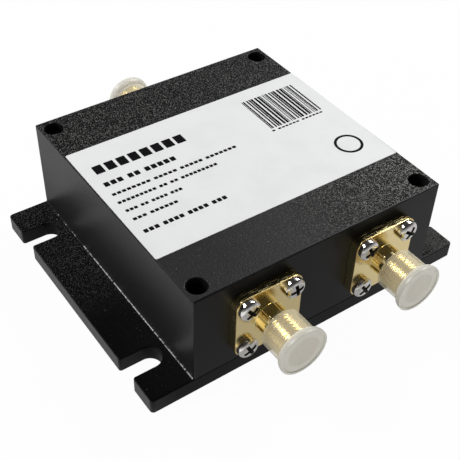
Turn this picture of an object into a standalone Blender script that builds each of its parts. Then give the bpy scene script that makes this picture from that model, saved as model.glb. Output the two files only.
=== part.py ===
"""Two-way coaxial power splitter.

A milled housing, open below, is closed by a base plate whose ears carry four open slots. Inside, a
microstrip board lies against the pocket's roof with its copper facing down. The input connector is on the
back, and the two outputs are on the front. Each connector wears a push-on dust cap.

Metres, +Z up. The origin is the centre of the base plate's underside, and the outputs face -Y.
"""
import math

import bmesh
import bpy
from mathutils import Matrix, Vector

MM = 0.001

# Air between two faces that seat, round a part in its bore, and under a film of foil, solder or adhesive
SEAT = 0.3 * MM
FIT = 0.1 * MM
FILM = 0.05 * MM

# Housing
HOUSING_W = 50.0 * MM
HOUSING_D = 52.5 * MM
HOUSING_H = 17.7 * MM
HOUSING_EDGE = 0.25 * MM
SIDE_WALL = 3.0 * MM
END_WALL = 4.5 * MM
POCKET_CORNER = 1.5 * MM
PILLAR_WALL = 1.0 * MM

# Base plate
PLATE_T = 3.0 * MM
EAR = 7.9 * MM
PLATE_CORNER = 1.0 * MM
SLOT_W = 4.3 * MM
SLOT_REACH = 6.55 * MM
SLOT_INSET = 8.0 * MM
SLOT_LIP = 0.5 * MM

# Cover screws, M2 with a small head, deep in the housing's corner holes
CORNER_HOLE_R = 1.7 * MM
CORNER_INSET_X = 2.35 * MM
CORNER_INSET_Y = 2.75 * MM
CORNER_WEB = 3.5 * MM
COVER_HEAD_R = 1.5 * MM
COVER_TIP_INSET = 0.7 * MM

# Label
LABEL_MARGIN = 0.3 * MM
LABEL_D = 30.9 * MM
LABEL_T = 0.12 * MM
LABEL_CORNER = 0.8 * MM

# Ports: the connectors' axes on the housing's end faces
PORT_INSET = 13.0 * MM
PORT_HEIGHT = 8.7 * MM

# Connector body, with lengths measured outwards from the housing's face
FLANGE_SIZE = 12.7 * MM
FLANGE_T = 1.5 * MM
FLANGE_CORNER = 1.9 * MM
FLANGE_HOLE_PITCH = 8.64 * MM
BARREL_REACH = 9.5 * MM
FOOT_R = 3.0 * MM
FOOT_H = 0.3 * MM
NECK_R = 2.7 * MM
NECK_END = 4.3 * MM
THREAD_R = 3.175 * MM
THREAD_CHAMFER = 0.3 * MM
MOUTH_R = 2.3 * MM
MOUTH_DEPTH = 1.9 * MM

# Dielectric and centre contact
DIELECTRIC_R = 2.05 * MM
CONTACT_R = 0.635 * MM
CONTACT_CHAMFER = 0.08 * MM
SOCKET_R = 0.47 * MM
SOCKET_DEPTH = 3.0 * MM
SLIT_W = 0.2 * MM
SLIT_DEPTH = 2.2 * MM
PIN_R = 0.45 * MM
PIN_REACH = 2.6 * MM

# Dust cap
CAP_LENGTH = 6.05 * MM
CAP_PLAY = 0.125 * MM
CAP_WALL = 0.42 * MM
CAP_LEAD_IN = 0.15 * MM
CAP_END_T = 0.75 * MM
CAP_RIM_LENGTH = 1.45 * MM
CAP_RIM_R = 4.45 * MM
CAP_RIM_LAND = 0.35 * MM
CAP_RIM_EDGE = 0.1 * MM
CAP_LIP = 0.5 * MM
CAP_DISH_DEPTH = 0.2 * MM

# Pan head screws with a cross recess, M2
SCREW_R = 1.0 * MM
SCREW_TIP_CHAMFER = 0.2 * MM
SCREW_HEAD_R = 2.0 * MM
SCREW_HEAD_SIDE = 0.8 * MM
SCREW_HEAD_H = 1.4 * MM
SCREW_LENGTH = 5.0 * MM
RECESS_SPAN = 2.1 * MM
RECESS_WIDTH = 0.42 * MM
RECESS_DEPTH = 0.75 * MM
TAP_SPARE = 0.5 * MM

# Board
BOARD_T = 0.8 * MM
BOARD_SCREW_INSET = 4.2 * MM

# Copper line
TRACK_T = 0.1 * MM
TRACK_EDGE = 0.3 * MM
INPUT_LINE_W = 2.4 * MM
INPUT_RUN = 4.6 * MM
TEE_BAR = 1.2 * MM
ARM_GAP = 0.9 * MM
LOBE_WIDTHS = (1.0 * MM, 1.2 * MM, 1.5 * MM)
LOBE_LENGTH = 9.2 * MM
LOBE_BULGE = 4.5 * MM
OUTPUT_LINE_W = 1.7 * MM
OUTPUT_RUN = 3.4 * MM

# Chip resistors
CHIP_L = 2.0 * MM
CHIP_W = 1.25 * MM
CHIP_T = 0.5 * MM
CHIP_EDGE = 0.06 * MM

# Facets
BARREL_SEGMENTS = 28
HOLE_SEGMENTS = 20
SCREW_SEGMENTS = 14
TAP_SEGMENTS = 12
CORNER_STEPS = 4
DOME_STEPS = 2
RIM_STEPS = 4
LOBE_STEPS = 8
SMOOTH_ANGLE = math.radians(35)

# How far a cutting tool runs past the face that it opens, and how close two points count as one
PAST = 1.0 * MM
SAME_POINT = 0.001 * MM

# Heights that follow from the sizes above
HOUSING_FOOT = PLATE_T + SEAT
HOUSING_TOP = HOUSING_FOOT + HOUSING_H
PORT_Z = HOUSING_FOOT + PORT_HEIGHT
TRACK_Z = PORT_Z + PIN_R + FILM
BOARD_Z = TRACK_Z + TRACK_T + FILM
POCKET_ROOF = BOARD_Z + BOARD_T + SEAT
COVER_SCREW_Z = HOUSING_FOOT + CORNER_WEB + SEAT

# Places and radii that follow from them
POCKET_HALF_W = HOUSING_W / 2 - SIDE_WALL
POCKET_HALF_D = HOUSING_D / 2 - END_WALL
BOARD_HALF_W = POCKET_HALF_W - FIT
BOARD_HALF_D = POCKET_HALF_D - FIT
CORNER_X = HOUSING_W / 2 - CORNER_INSET_X
CORNER_Y = HOUSING_D / 2 - CORNER_INSET_Y
PILLAR_R = CORNER_HOLE_R + PILLAR_WALL
SCREW_HOLE_R = SCREW_R + FIT
PORT_BORE_R = DIELECTRIC_R + FIT
FLANGE_FACE = SEAT + FLANGE_T
FLANGE_SCREW_Z = FLANGE_FACE + SEAT
CONTACT_END = BARREL_REACH - MOUTH_DEPTH
PORT_X = HOUSING_W / 2 - PORT_INSET
LABEL_W = HOUSING_W - 2 * LABEL_MARGIN
EAR_LINE = HOUSING_W / 2 + SEAT

# Cap's places along the port's axis, from the housing's face, and its radii
CAP_FLOOR = BARREL_REACH + SEAT
CAP_DISH = CAP_FLOOR + CAP_END_T
CAP_REACH = CAP_DISH + CAP_DISH_DEPTH
CAP_START = CAP_REACH - CAP_LENGTH
CAP_RIM_START = CAP_REACH - CAP_RIM_LENGTH
CAP_BORE_R = THREAD_R + CAP_PLAY
CAP_SLEEVE_R = CAP_BORE_R + CAP_WALL
CAP_DISH_R = CAP_RIM_R - CAP_LIP

CORNERS = ((-1, -1), (1, -1), (1, 1), (-1, 1))


def clear_scene():
    """Remove every object that the file opens with."""
    for item in list(bpy.data.objects):
        bpy.data.objects.remove(item, do_unlink=True)


def finish(name, color, roughness, metallic=0.0):
    """Return a Principled material with one colour."""
    material = bpy.data.materials.new(name)
    material.use_nodes = True
    shader = material.node_tree.nodes["Principled BSDF"]
    shader.inputs["Base Color"].default_value = (*color, 1.0)
    shader.inputs["Roughness"].default_value = roughness
    shader.inputs["Metallic"].default_value = metallic
    material.diffuse_color = (*color, 1.0)
    return material


def shade(mesh):
    """Shade a mesh smooth, apart from its real edges."""
    mesh.shade_smooth()
    mesh.set_sharp_from_angle(angle=SMOOTH_ANGLE)


def to_mesh(name, shape):
    """Turn a bmesh's faces outwards and return it as a mesh."""
    bmesh.ops.recalc_face_normals(shape, faces=shape.faces)
    mesh = bpy.data.meshes.new(name)
    shape.to_mesh(mesh)
    shape.free()
    shade(mesh)
    return mesh


def place(name, mesh, material=None, parent=None, location=(0, 0, 0), rotation=(0, 0, 0)):
    """Put a mesh in the scene as one named object."""
    item = bpy.data.objects.new(name, mesh)
    bpy.context.scene.collection.objects.link(item)
    item.parent = parent
    item.location = location
    item.rotation_euler = rotation
    if material is not None and not mesh.materials:
        mesh.materials.append(material)
    return item


def cut(item, name, shape, operation="DIFFERENCE"):
    """Add a Boolean modifier whose tool is a bmesh, and return the tool, which is no piece."""
    tool = place(name, to_mesh(name, shape))
    tool.hide_render = True
    tool.display_type = "WIRE"
    modifier = item.modifiers.new(name, "BOOLEAN")
    modifier.operation = operation
    modifier.solver = "EXACT"
    modifier.object = tool
    return tool


def bake(item, tools):
    """Return the item's mesh with its modifiers applied, and drop the item and its tools."""
    bpy.context.view_layer.update()
    graph = bpy.context.evaluated_depsgraph_get()
    mesh = bpy.data.meshes.new_from_object(item.evaluated_get(graph))
    mesh.name = item.name
    for used in (item, *tools):
        bpy.data.objects.remove(used, do_unlink=True)
    shade(mesh)
    return mesh


def filleted(corners, steps=CORNER_STEPS):
    """Return the outline through (x, y, radius) corners, with an arc at each that has a radius.

    A radius is limited by half of the shorter side next to it.
    """
    points = [Vector(corner[:2]) for corner in corners]
    outline = []
    for index, (point, corner) in enumerate(zip(points, corners)):
        back = points[index - 1] - point
        ahead = points[(index + 1) % len(points)] - point
        half_angle = back.angle(ahead) / 2
        reach = min(corner[2] / math.tan(half_angle), back.length / 2, ahead.length / 2)
        if reach <= 0:
            outline.append(point)
            continue
        radius = reach * math.tan(half_angle)
        center = point + (back.normalized() + ahead.normalized()).normalized() * radius / math.sin(half_angle)
        start = point + back.normalized() * reach - center
        sweep = start.angle_signed(point + ahead.normalized() * reach - center)
        for step in range(steps + 1):
            spoke = start.copy()
            spoke.rotate(Matrix.Rotation(-sweep * step / steps, 2))
            outline.append(center + spoke)
    return [p for p, before in zip(outline, outline[-1:] + outline[:-1]) if (p - before).length > SAME_POINT]


def rectangle(width, depth, radius):
    """Return a counterclockwise rectangle with round corners, centred on the origin."""
    return filleted([(sx * width / 2, sy * depth / 2, radius) for sx, sy in CORNERS])


def extruded(outline, low, high):
    """Extrude a flat outline from one height to another, and return the bmesh."""
    shape = bmesh.new()
    face = shape.faces.new([shape.verts.new((x, y, low)) for x, y in outline])
    grown = bmesh.ops.extrude_face_region(shape, geom=[face], use_keep_orig=True)
    raised = [item for item in grown["geom"] if isinstance(item, bmesh.types.BMVert)]
    bmesh.ops.translate(shape, verts=raised, vec=(0, 0, high - low))
    return shape


def turned(profile, segments=BARREL_SEGMENTS, ring=False):
    """Spin a profile of (radius, height) points round Z, and return the bmesh.

    A ring's profile is closed. Any other starts and ends on the axis.
    """
    shape = bmesh.new()
    points = [shape.verts.new((radius, 0, height)) for radius, height in profile]
    ends = points[1:] + points[:1] if ring else points[1:]
    edges = [shape.edges.new(pair) for pair in zip(points, ends)]
    bmesh.ops.spin(shape, geom=points + edges, axis=(0, 0, 1), cent=(0, 0, 0), angle=2 * math.pi,
                   steps=segments, use_merge=True)
    bmesh.ops.remove_doubles(shape, verts=shape.verts, dist=SAME_POINT)
    return shape


def rod(radius, low, high, segments=SCREW_SEGMENTS):
    """Return a plain cylinder on Z."""
    return turned([(0, low), (radius, low), (radius, high), (0, high)], segments)


def block(width, depth, low, high):
    """Return a plain box, centred on Z."""
    return extruded(rectangle(width, depth, 0), low, high)


def moved(shape, matrix):
    """Transform a bmesh and return it."""
    bmesh.ops.transform(shape, matrix=matrix, verts=shape.verts)
    return shape


def shifted(shape, x, y, z=0.0):
    """Move a bmesh and return it."""
    return moved(shape, Matrix.Translation((x, y, z)))


def together(shapes):
    """Return one bmesh that holds several separate ones, each with its faces outwards."""
    whole = bmesh.new()
    for shape in shapes:
        mesh = to_mesh("piece", shape)
        whole.from_mesh(mesh)
        bpy.data.meshes.remove(mesh)
    return whole


def port_places():
    """Return each port's name, its point on the housing's face and its turn from the front."""
    face = HOUSING_D / 2
    return (
        ("input", Vector((0, face, PORT_Z)), math.pi),
        ("output_left", Vector((-PORT_X, -face, PORT_Z)), 0.0),
        ("output_right", Vector((PORT_X, -face, PORT_Z)), 0.0),
    )


def port_matrix(point, turn):
    """Return the matrix that takes a port's own +Z out of its wall."""
    return Matrix.Translation(point) @ Matrix.Rotation(turn, 4, "Z") @ Matrix.Rotation(math.pi / 2, 4, "X")


def flange_rods(radius, low, high, segments=SCREW_SEGMENTS):
    """Return rods on a flange's four screw axes, in the port's own frame."""
    half = FLANGE_HOLE_PITCH / 2
    return [shifted(rod(radius, low, high, segments), sx * half, sy * half) for sx, sy in CORNERS]


def corner_rods(radius, low, high, segments=HOLE_SEGMENTS):
    """Return rods on the four cover screws' axes."""
    return [shifted(rod(radius, low, high, segments), sx * CORNER_X, sy * CORNER_Y) for sx, sy in CORNERS]


def board_screw_places():
    """Return where the board screws stand, in from the board's corners."""
    x = BOARD_HALF_W - BOARD_SCREW_INSET
    y = BOARD_HALF_D - BOARD_SCREW_INSET
    return [(sx * x, sy * y) for sx, sy in CORNERS]


def board_rods(radius, low, high):
    """Return rods on the four board screws' axes."""
    return [shifted(rod(radius, low, high, TAP_SEGMENTS), x, y) for x, y in board_screw_places()]


def housing(paint):
    """Build the milled housing: a block with a pocket below, corner holes, bores and tapped holes."""
    body = block(HOUSING_W, HOUSING_D, HOUSING_FOOT, HOUSING_TOP)
    edges = [edge for edge in body.edges if max(vert.co.z for vert in edge.verts) > HOUSING_FOOT + FILM]
    bmesh.ops.bevel(body, geom=edges, offset=HOUSING_EDGE, segments=2, profile=0.5, affect="EDGES",
                    material=-1)
    item = place("housing", to_mesh("housing", body), paint)

    # The pillars round the corner holes are what the pocket's tool leaves standing
    outline = rectangle(2 * POCKET_HALF_W, 2 * POCKET_HALF_D, POCKET_CORNER)
    pocket = place("pocket", to_mesh("pocket", extruded(outline, HOUSING_FOOT - PAST, POCKET_ROOF)))
    pillars = cut(pocket, "pillars", together(corner_rods(PILLAR_R, HOUSING_FOOT - 2 * PAST, HOUSING_TOP)))
    pocket_mesh = bake(pocket, [pillars])
    pocket_shape = bmesh.new()
    pocket_shape.from_mesh(pocket_mesh)
    cut(item, "pocket_tool", pocket_shape)

    web_top = HOUSING_FOOT + CORNER_WEB
    stepped = [(0, HOUSING_FOOT - PAST), (SCREW_HOLE_R, HOUSING_FOOT - PAST), (SCREW_HOLE_R, web_top),
               (CORNER_HOLE_R, web_top), (CORNER_HOLE_R, HOUSING_TOP + PAST), (0, HOUSING_TOP + PAST)]
    holes = [shifted(turned(stepped, HOLE_SEGMENTS), sx * CORNER_X, sy * CORNER_Y) for sx, sy in CORNERS]
    cut(item, "corner_hole_tool", together(holes))

    tap_bottom = FLANGE_SCREW_Z - SCREW_LENGTH - TAP_SPARE
    bores = []
    for _, point, turn in port_places():
        matrix = port_matrix(point, turn)
        bores.append(moved(rod(PORT_BORE_R, -END_WALL - SEAT, PAST, BARREL_SEGMENTS), matrix))
        bores += [moved(tap, matrix) for tap in flange_rods(SCREW_HOLE_R, tap_bottom, PAST, TAP_SEGMENTS)]
    cut(item, "port_tool", together(bores))

    tap_top = BOARD_Z - SEAT + SCREW_LENGTH + TAP_SPARE
    cut(item, "board_tap_tool", together(board_rods(SCREW_HOLE_R, POCKET_ROOF - PAST, tap_top)))


def base_plate(paint):
    """Build the cover plate, whose ears carry four slots that are open to the outside."""
    half_w = HOUSING_W / 2 + EAR
    half_d = HOUSING_D / 2
    slot_end = half_w - SLOT_REACH
    near = half_d - SLOT_INSET - SLOT_W / 2
    far = near + SLOT_W
    quarter = [(half_w, near, SLOT_LIP), (slot_end, near, SLOT_W / 2), (slot_end, far, SLOT_W / 2),
               (half_w, far, SLOT_LIP), (half_w, half_d, PLATE_CORNER)]
    outline = []
    for sx, sy in CORNERS:
        corners = [(sx * x, sy * y, radius) for x, y, radius in quarter]
        outline += corners if sx * sy > 0 else corners[::-1]
    shape = extruded(filleted(outline), 0.0, PLATE_T)
    # A split line beside the housing makes each ear's top a face of its own
    for side in (-1, 1):
        whole = shape.verts[:] + shape.edges[:] + shape.faces[:]
        bmesh.ops.bisect_plane(shape, geom=whole, dist=SAME_POINT, plane_co=(side * EAR_LINE, 0, 0),
                               plane_no=(1, 0, 0))
    item = place("base_plate", to_mesh("base_plate", shape), paint)
    cut(item, "cover_tap_tool", together(corner_rods(SCREW_HOLE_R, -PAST, PLATE_T + PAST, TAP_SEGMENTS)))


def label(paper):
    """Build the printed sticker on the housing's top."""
    low = HOUSING_TOP + FILM
    shape = extruded(rectangle(LABEL_W, LABEL_D, LABEL_CORNER), low, low + LABEL_T)
    place("label", to_mesh("label", shape), paper)


def circuit_board(laminate):
    """Build the board, notched round the pillars and drilled for its screws."""
    outline = rectangle(2 * BOARD_HALF_W, 2 * BOARD_HALF_D, POCKET_CORNER)
    shape = extruded(outline, BOARD_Z, BOARD_Z + BOARD_T)
    item = place("circuit_board", to_mesh("circuit_board", shape), laminate)
    low, high = BOARD_Z - PAST, BOARD_Z + BOARD_T + PAST
    cut(item, "notch_tool", together(corner_rods(PILLAR_R + FIT, low, high)))
    cut(item, "board_hole_tool", together(board_rods(SCREW_HOLE_R, low, high)))


def lobe_nodes():
    """Return the board's Y at the tee and where each lobe of the arms ends."""
    tee = BOARD_HALF_D - TRACK_EDGE - INPUT_RUN
    return [tee - LOBE_LENGTH * count for count in range(len(LOBE_WIDTHS) + 1)]


def arm_path():
    """Return the right arm's centre line as (x, y, half width), from the tee to the output's edge."""
    nodes = lobe_nodes()
    path = []
    for index, width in enumerate(LOBE_WIDTHS):
        for step in range(LOBE_STEPS):
            along = step / LOBE_STEPS
            start = ARM_GAP / 2 + width / 2
            x = start + LOBE_BULGE * math.sin(math.pi * along) ** 2
            path.append((x, nodes[index] - LOBE_LENGTH * along, width / 2))
    half = OUTPUT_LINE_W / 2
    start = ARM_GAP / 2 + half
    last = nodes[-1]
    edge = -(BOARD_HALF_D - TRACK_EDGE)
    bend_end = edge + OUTPUT_RUN
    for step in range(LOBE_STEPS + 1):
        along = step / LOBE_STEPS
        ease = (1 - math.cos(math.pi * along)) / 2
        path.append((start + (PORT_X - start) * ease, last + (bend_end - last) * along, half))
    path.append((PORT_X, edge, half))
    return path


def arm_sides(path):
    """Return the outer and the inner side of a ribbon along a path, both from its start."""
    outer, inner = [], []
    for index, (x, y, half) in enumerate(path):
        before = Vector(path[max(index - 1, 0)][:2])
        after = Vector(path[min(index + 1, len(path) - 1)][:2])
        along = (after - before).normalized()
        if index in (0, len(path) - 1):
            along = Vector((0, -1))
        side = Vector((-along.y, along.x)) * half
        outer.append((x + side.x, y + side.y))
        inner.append((x - side.x, y - side.y))
    return outer, inner


def splitter_track(copper):
    """Build the copper line: the input, the tee and two mirrored arms of three lobes each."""
    outer, inner = arm_sides(arm_path())
    tee = lobe_nodes()[0]
    shoulder = (outer[0][0], tee + TEE_BAR)
    stem = [(INPUT_LINE_W / 2, BOARD_HALF_D - TRACK_EDGE), (INPUT_LINE_W / 2, tee + TEE_BAR)]
    right = stem + ([shoulder] if shoulder[0] > INPUT_LINE_W / 2 else []) + outer + inner[::-1]
    left = [(-x, y) for x, y in reversed(right)]
    shape = extruded(right + left, TRACK_Z, TRACK_Z + TRACK_T)
    place("splitter_track", to_mesh("splitter_track", shape), copper)


def isolation_resistors(ceramic):
    """Build the chips that bridge the two arms where they come close, one at each lobe's end."""
    shape = block(CHIP_L, CHIP_W, -CHIP_T, 0.0)
    bmesh.ops.bevel(shape, geom=shape.edges[:], offset=CHIP_EDGE, segments=1, profile=0.5, affect="EDGES",
                    material=-1)
    mesh = to_mesh("isolation_resistor", shape)
    for number, y in enumerate(lobe_nodes()[1:], 1):
        place(f"isolation_resistor_{number}", mesh, ceramic, location=(0, y, TRACK_Z - FILM))


def screw_mesh(name, head_r, length):
    """Return a cross-recessed screw that stands on Z, with its head's underside at zero."""
    profile = [(0, -length), (SCREW_R - SCREW_TIP_CHAMFER, -length), (SCREW_R, -length + SCREW_TIP_CHAMFER),
               (SCREW_R, 0), (head_r, 0), (head_r, SCREW_HEAD_SIDE)]
    for step in range(1, DOME_STEPS + 1):
        angle = math.pi / 2 * step / DOME_STEPS
        rise = (SCREW_HEAD_H - SCREW_HEAD_SIDE) * math.sin(angle)
        profile.append((head_r * math.cos(angle), SCREW_HEAD_SIDE + rise))
    item = place(name, to_mesh(name, turned(profile, SCREW_SEGMENTS)))
    low, high = SCREW_HEAD_H - RECESS_DEPTH, SCREW_HEAD_H + PAST
    tools = [cut(item, "slot_along", block(RECESS_SPAN, RECESS_WIDTH, low, high)),
             cut(item, "slot_across", block(RECESS_WIDTH, RECESS_SPAN, low, high))]
    return bake(item, tools)


def connector_mesh():
    """Return a connector's body: flange, neck and barrel in one, with a stepped bore."""
    thread_start = NECK_END + (THREAD_R - NECK_R) / 2
    profile = [(0, SEAT + FLANGE_T / 2), (FOOT_R, SEAT + FLANGE_T / 2), (FOOT_R, FLANGE_FACE),
               (NECK_R, FLANGE_FACE + FOOT_H), (NECK_R, NECK_END), (THREAD_R, thread_start),
               (THREAD_R, BARREL_REACH - THREAD_CHAMFER), (THREAD_R - THREAD_CHAMFER, BARREL_REACH),
               (0, BARREL_REACH)]
    flange = extruded(rectangle(FLANGE_SIZE, FLANGE_SIZE, FLANGE_CORNER), SEAT, FLANGE_FACE)
    item = place("connector_body", to_mesh("connector_body", flange))
    bore = [(0, -PAST), (PORT_BORE_R, -PAST), (PORT_BORE_R, CONTACT_END), (MOUTH_R, CONTACT_END),
            (MOUTH_R, BARREL_REACH + PAST), (0, BARREL_REACH + PAST)]
    tools = [cut(item, "barrel", turned(profile), "UNION"),
             cut(item, "bore", turned(bore)),
             cut(item, "flange_holes", together(flange_rods(SCREW_HOLE_R, -PAST, FLANGE_FACE + PAST)))]
    return bake(item, tools)


def dielectric_mesh():
    """Return the insulator, a tube from the wall's inner face to the mating plane."""
    inner = CONTACT_R + FIT
    profile = [(inner, -END_WALL), (DIELECTRIC_R, -END_WALL), (DIELECTRIC_R, CONTACT_END),
               (inner, CONTACT_END)]
    return to_mesh("dielectric", turned(profile, ring=True))


def contact_mesh():
    """Return the centre contact: a slotted socket in front and a thin pin behind."""
    tip = -END_WALL - PIN_REACH
    shoulder = -END_WALL + FIT
    profile = [(0, tip), (PIN_R - CONTACT_CHAMFER, tip), (PIN_R, tip + CONTACT_CHAMFER),
               (PIN_R, shoulder), (CONTACT_R, shoulder), (CONTACT_R, CONTACT_END - CONTACT_CHAMFER),
               (CONTACT_R - CONTACT_CHAMFER, CONTACT_END), (SOCKET_R, CONTACT_END),
               (SOCKET_R, CONTACT_END - SOCKET_DEPTH), (0, CONTACT_END - SOCKET_DEPTH - SOCKET_R / 2)]
    item = place("contact", to_mesh("contact", turned(profile, SCREW_SEGMENTS)))
    low, high = CONTACT_END - SLIT_DEPTH, CONTACT_END + PAST
    span = 2 * (CONTACT_R + PAST)
    tools = [cut(item, "slit_along", block(span, SLIT_W, low, high)),
             cut(item, "slit_across", block(SLIT_W, span, low, high))]
    return bake(item, tools)


def cap_mesh():
    """Return the push-on dust cap: a thin sleeve with a mushroom rim round its closed end."""
    rim_low = CAP_REACH - CAP_RIM_LAND
    profile = [(0, CAP_DISH), (CAP_DISH_R, CAP_DISH), (CAP_DISH_R, CAP_REACH),
               (CAP_RIM_R - CAP_RIM_EDGE, CAP_REACH), (CAP_RIM_R, CAP_REACH - CAP_RIM_EDGE)]
    for step in range(RIM_STEPS + 1):
        angle = math.pi / 2 * step / RIM_STEPS
        profile.append((CAP_SLEEVE_R + (CAP_RIM_R - CAP_SLEEVE_R) * math.cos(angle),
                        rim_low - (rim_low - CAP_RIM_START) * math.sin(angle)))
    profile += [(CAP_SLEEVE_R, CAP_START), (CAP_BORE_R + CAP_LEAD_IN, CAP_START),
                (CAP_BORE_R, CAP_START + 2 * CAP_LEAD_IN), (CAP_BORE_R, CAP_FLOOR), (0, CAP_FLOOR)]
    return to_mesh("cap", turned(profile))


def connectors(gold, insulator, nickel, plastic):
    """Build the three ports from shared meshes, each under an empty on its own axis."""
    body = connector_mesh()
    dielectric = dielectric_mesh()
    contact = contact_mesh()
    cap = cap_mesh()
    screw = screw_mesh("flange_screw", SCREW_HEAD_R, SCREW_LENGTH)
    half = FLANGE_HOLE_PITCH / 2
    for name, point, turn in port_places():
        port = bpy.data.objects.new(f"{name}_port", None)
        bpy.context.scene.collection.objects.link(port)
        port.matrix_world = port_matrix(point, turn)
        place(f"{name}_connector", body, gold, port)
        place(f"{name}_dielectric", dielectric, insulator, port)
        place(f"{name}_contact", contact, gold, port)
        place(f"{name}_cap", cap, plastic, port)
        for number, (sx, sy) in enumerate(CORNERS, 1):
            place(f"{name}_screw_{number}", screw, nickel, port, (sx * half, sy * half, FLANGE_SCREW_Z))


def housing_screws(nickel):
    """Build the cover screws, which point down, and the board screws, which point up."""
    cover = screw_mesh("cover_screw", COVER_HEAD_R, COVER_SCREW_Z - COVER_TIP_INSET)
    for number, (sx, sy) in enumerate(CORNERS, 1):
        place(f"cover_screw_{number}", cover, nickel, location=(sx * CORNER_X, sy * CORNER_Y, COVER_SCREW_Z))
    board = screw_mesh("board_screw", SCREW_HEAD_R, SCREW_LENGTH)
    for number, (x, y) in enumerate(board_screw_places(), 1):
        place(f"board_screw_{number}", board, nickel, None, (x, y, BOARD_Z - SEAT), (math.pi, 0, 0))


def build():
    """Build the whole splitter."""
    clear_scene()
    paint = finish("black powder coat", (0.03, 0.03, 0.033), 0.65)
    paper = finish("label stock", (0.82, 0.83, 0.81), 0.5)
    gold = finish("gold plate", (0.80, 0.62, 0.30), 0.25, 1.0)
    nickel = finish("nickel plate", (0.68, 0.67, 0.64), 0.2, 1.0)
    plastic = finish("cap plastic", (0.62, 0.61, 0.57), 0.4)
    insulator = finish("fluoropolymer", (0.88, 0.88, 0.86), 0.5)
    laminate = finish("board laminate", (0.72, 0.68, 0.52), 0.6)
    copper = finish("tinned copper", (0.75, 0.55, 0.40), 0.3, 1.0)
    ceramic = finish("chip ceramic", (0.05, 0.05, 0.06), 0.4)
    housing(paint)
    base_plate(paint)
    label(paper)
    circuit_board(laminate)
    splitter_track(copper)
    isolation_resistors(ceramic)
    housing_screws(nickel)
    connectors(gold, insulator, nickel, plastic)


build()
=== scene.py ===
"""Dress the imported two-way power splitter and set it up for its studio picture.

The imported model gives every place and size. The pieces that show are remade here with rounded edges, real
threads and real recesses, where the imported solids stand. The pieces that stay inside keep their solids and
get their finishes. Lengths are in metres, with +Z up and the output ports facing -Y.
"""
import logging
import math
from dataclasses import dataclass
from enum import Enum
from typing import Any, Callable, Iterable, Optional, Union

import bmesh
import bpy
from mathutils import Matrix, Vector


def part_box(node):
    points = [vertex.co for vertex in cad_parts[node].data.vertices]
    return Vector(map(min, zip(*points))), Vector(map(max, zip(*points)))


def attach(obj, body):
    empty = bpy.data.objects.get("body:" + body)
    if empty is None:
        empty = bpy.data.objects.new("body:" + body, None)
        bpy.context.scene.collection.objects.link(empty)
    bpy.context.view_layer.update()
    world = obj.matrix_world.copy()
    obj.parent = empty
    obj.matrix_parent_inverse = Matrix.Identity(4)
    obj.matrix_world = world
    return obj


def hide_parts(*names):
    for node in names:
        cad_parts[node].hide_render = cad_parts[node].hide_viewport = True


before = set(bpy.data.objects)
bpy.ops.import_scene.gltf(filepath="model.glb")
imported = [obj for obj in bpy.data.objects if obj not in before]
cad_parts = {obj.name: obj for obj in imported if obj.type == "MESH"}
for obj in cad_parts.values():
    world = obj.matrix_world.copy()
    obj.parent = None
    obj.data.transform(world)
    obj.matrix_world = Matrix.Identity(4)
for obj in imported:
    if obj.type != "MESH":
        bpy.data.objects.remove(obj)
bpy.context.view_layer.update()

MM = 0.001
QUARTER = math.pi / 2
FULL_TURN = 2 * math.pi

Colour = tuple[float, float, float]
Pair = tuple[float, float]
Profile = list[Pair]
Words = tuple[int, ...]
Socket = bpy.types.NodeSocket
Material = bpy.types.Material
Edge = bmesh.types.BMEdge

log = logging.getLogger("splitter")


def operator(operation: str, swapped: bool = False) -> Callable[..., "Value"]:
    """Make the method that does an operator with a Math node.

    Args:
        operation: The node's operation.
        swapped: Whether the other number comes first.

    Returns:
        The method.
    """
    def method(self: "Value", other: "Number" = 0.0) -> "Value":
        """Return the operator's result."""
        pair = (other, self) if swapped else (self, other)
        return self.graph.value("ShaderNodeMath", 0, {"operation": operation}, dict(enumerate(pair)))
    return method


class Value:
    """A number that varies over a surface, held as the output socket of a shader node."""

    __add__ = __radd__ = operator("ADD")
    __sub__ = operator("SUBTRACT")
    __rsub__ = operator("SUBTRACT", swapped=True)
    __mul__ = operator("MULTIPLY")
    __truediv__ = operator("DIVIDE")
    __pow__ = operator("POWER")
    __mod__ = operator("FLOORED_MODULO")
    __abs__ = operator("ABSOLUTE")

    def __init__(self, graph: "Graph", socket: Socket) -> None:
        """Wrap an output socket of a graph, which makes the nodes of an expression."""
        self.graph = graph
        self.socket = socket

    def ramp(self, low: float, high: float, to_low: float = 0.0, to_high: float = 1.0) -> "Value":
        """Pass smoothly from one number to another as self goes from low to high.

        Args:
            low: Where the passage starts.
            high: Where it ends.
            to_low: The result at and before the start.
            to_high: The result at and after the end.

        Returns:
            The eased number.
        """
        settings = {"interpolation_type": "SMOOTHSTEP", "clamp": True}
        limits = {"From Min": low, "From Max": high, "To Min": to_low, "To Max": to_high}
        return self.graph.value("ShaderNodeMapRange", "Result", settings, {"Value": self, **limits})


Number = Union[float, Value]


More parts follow.
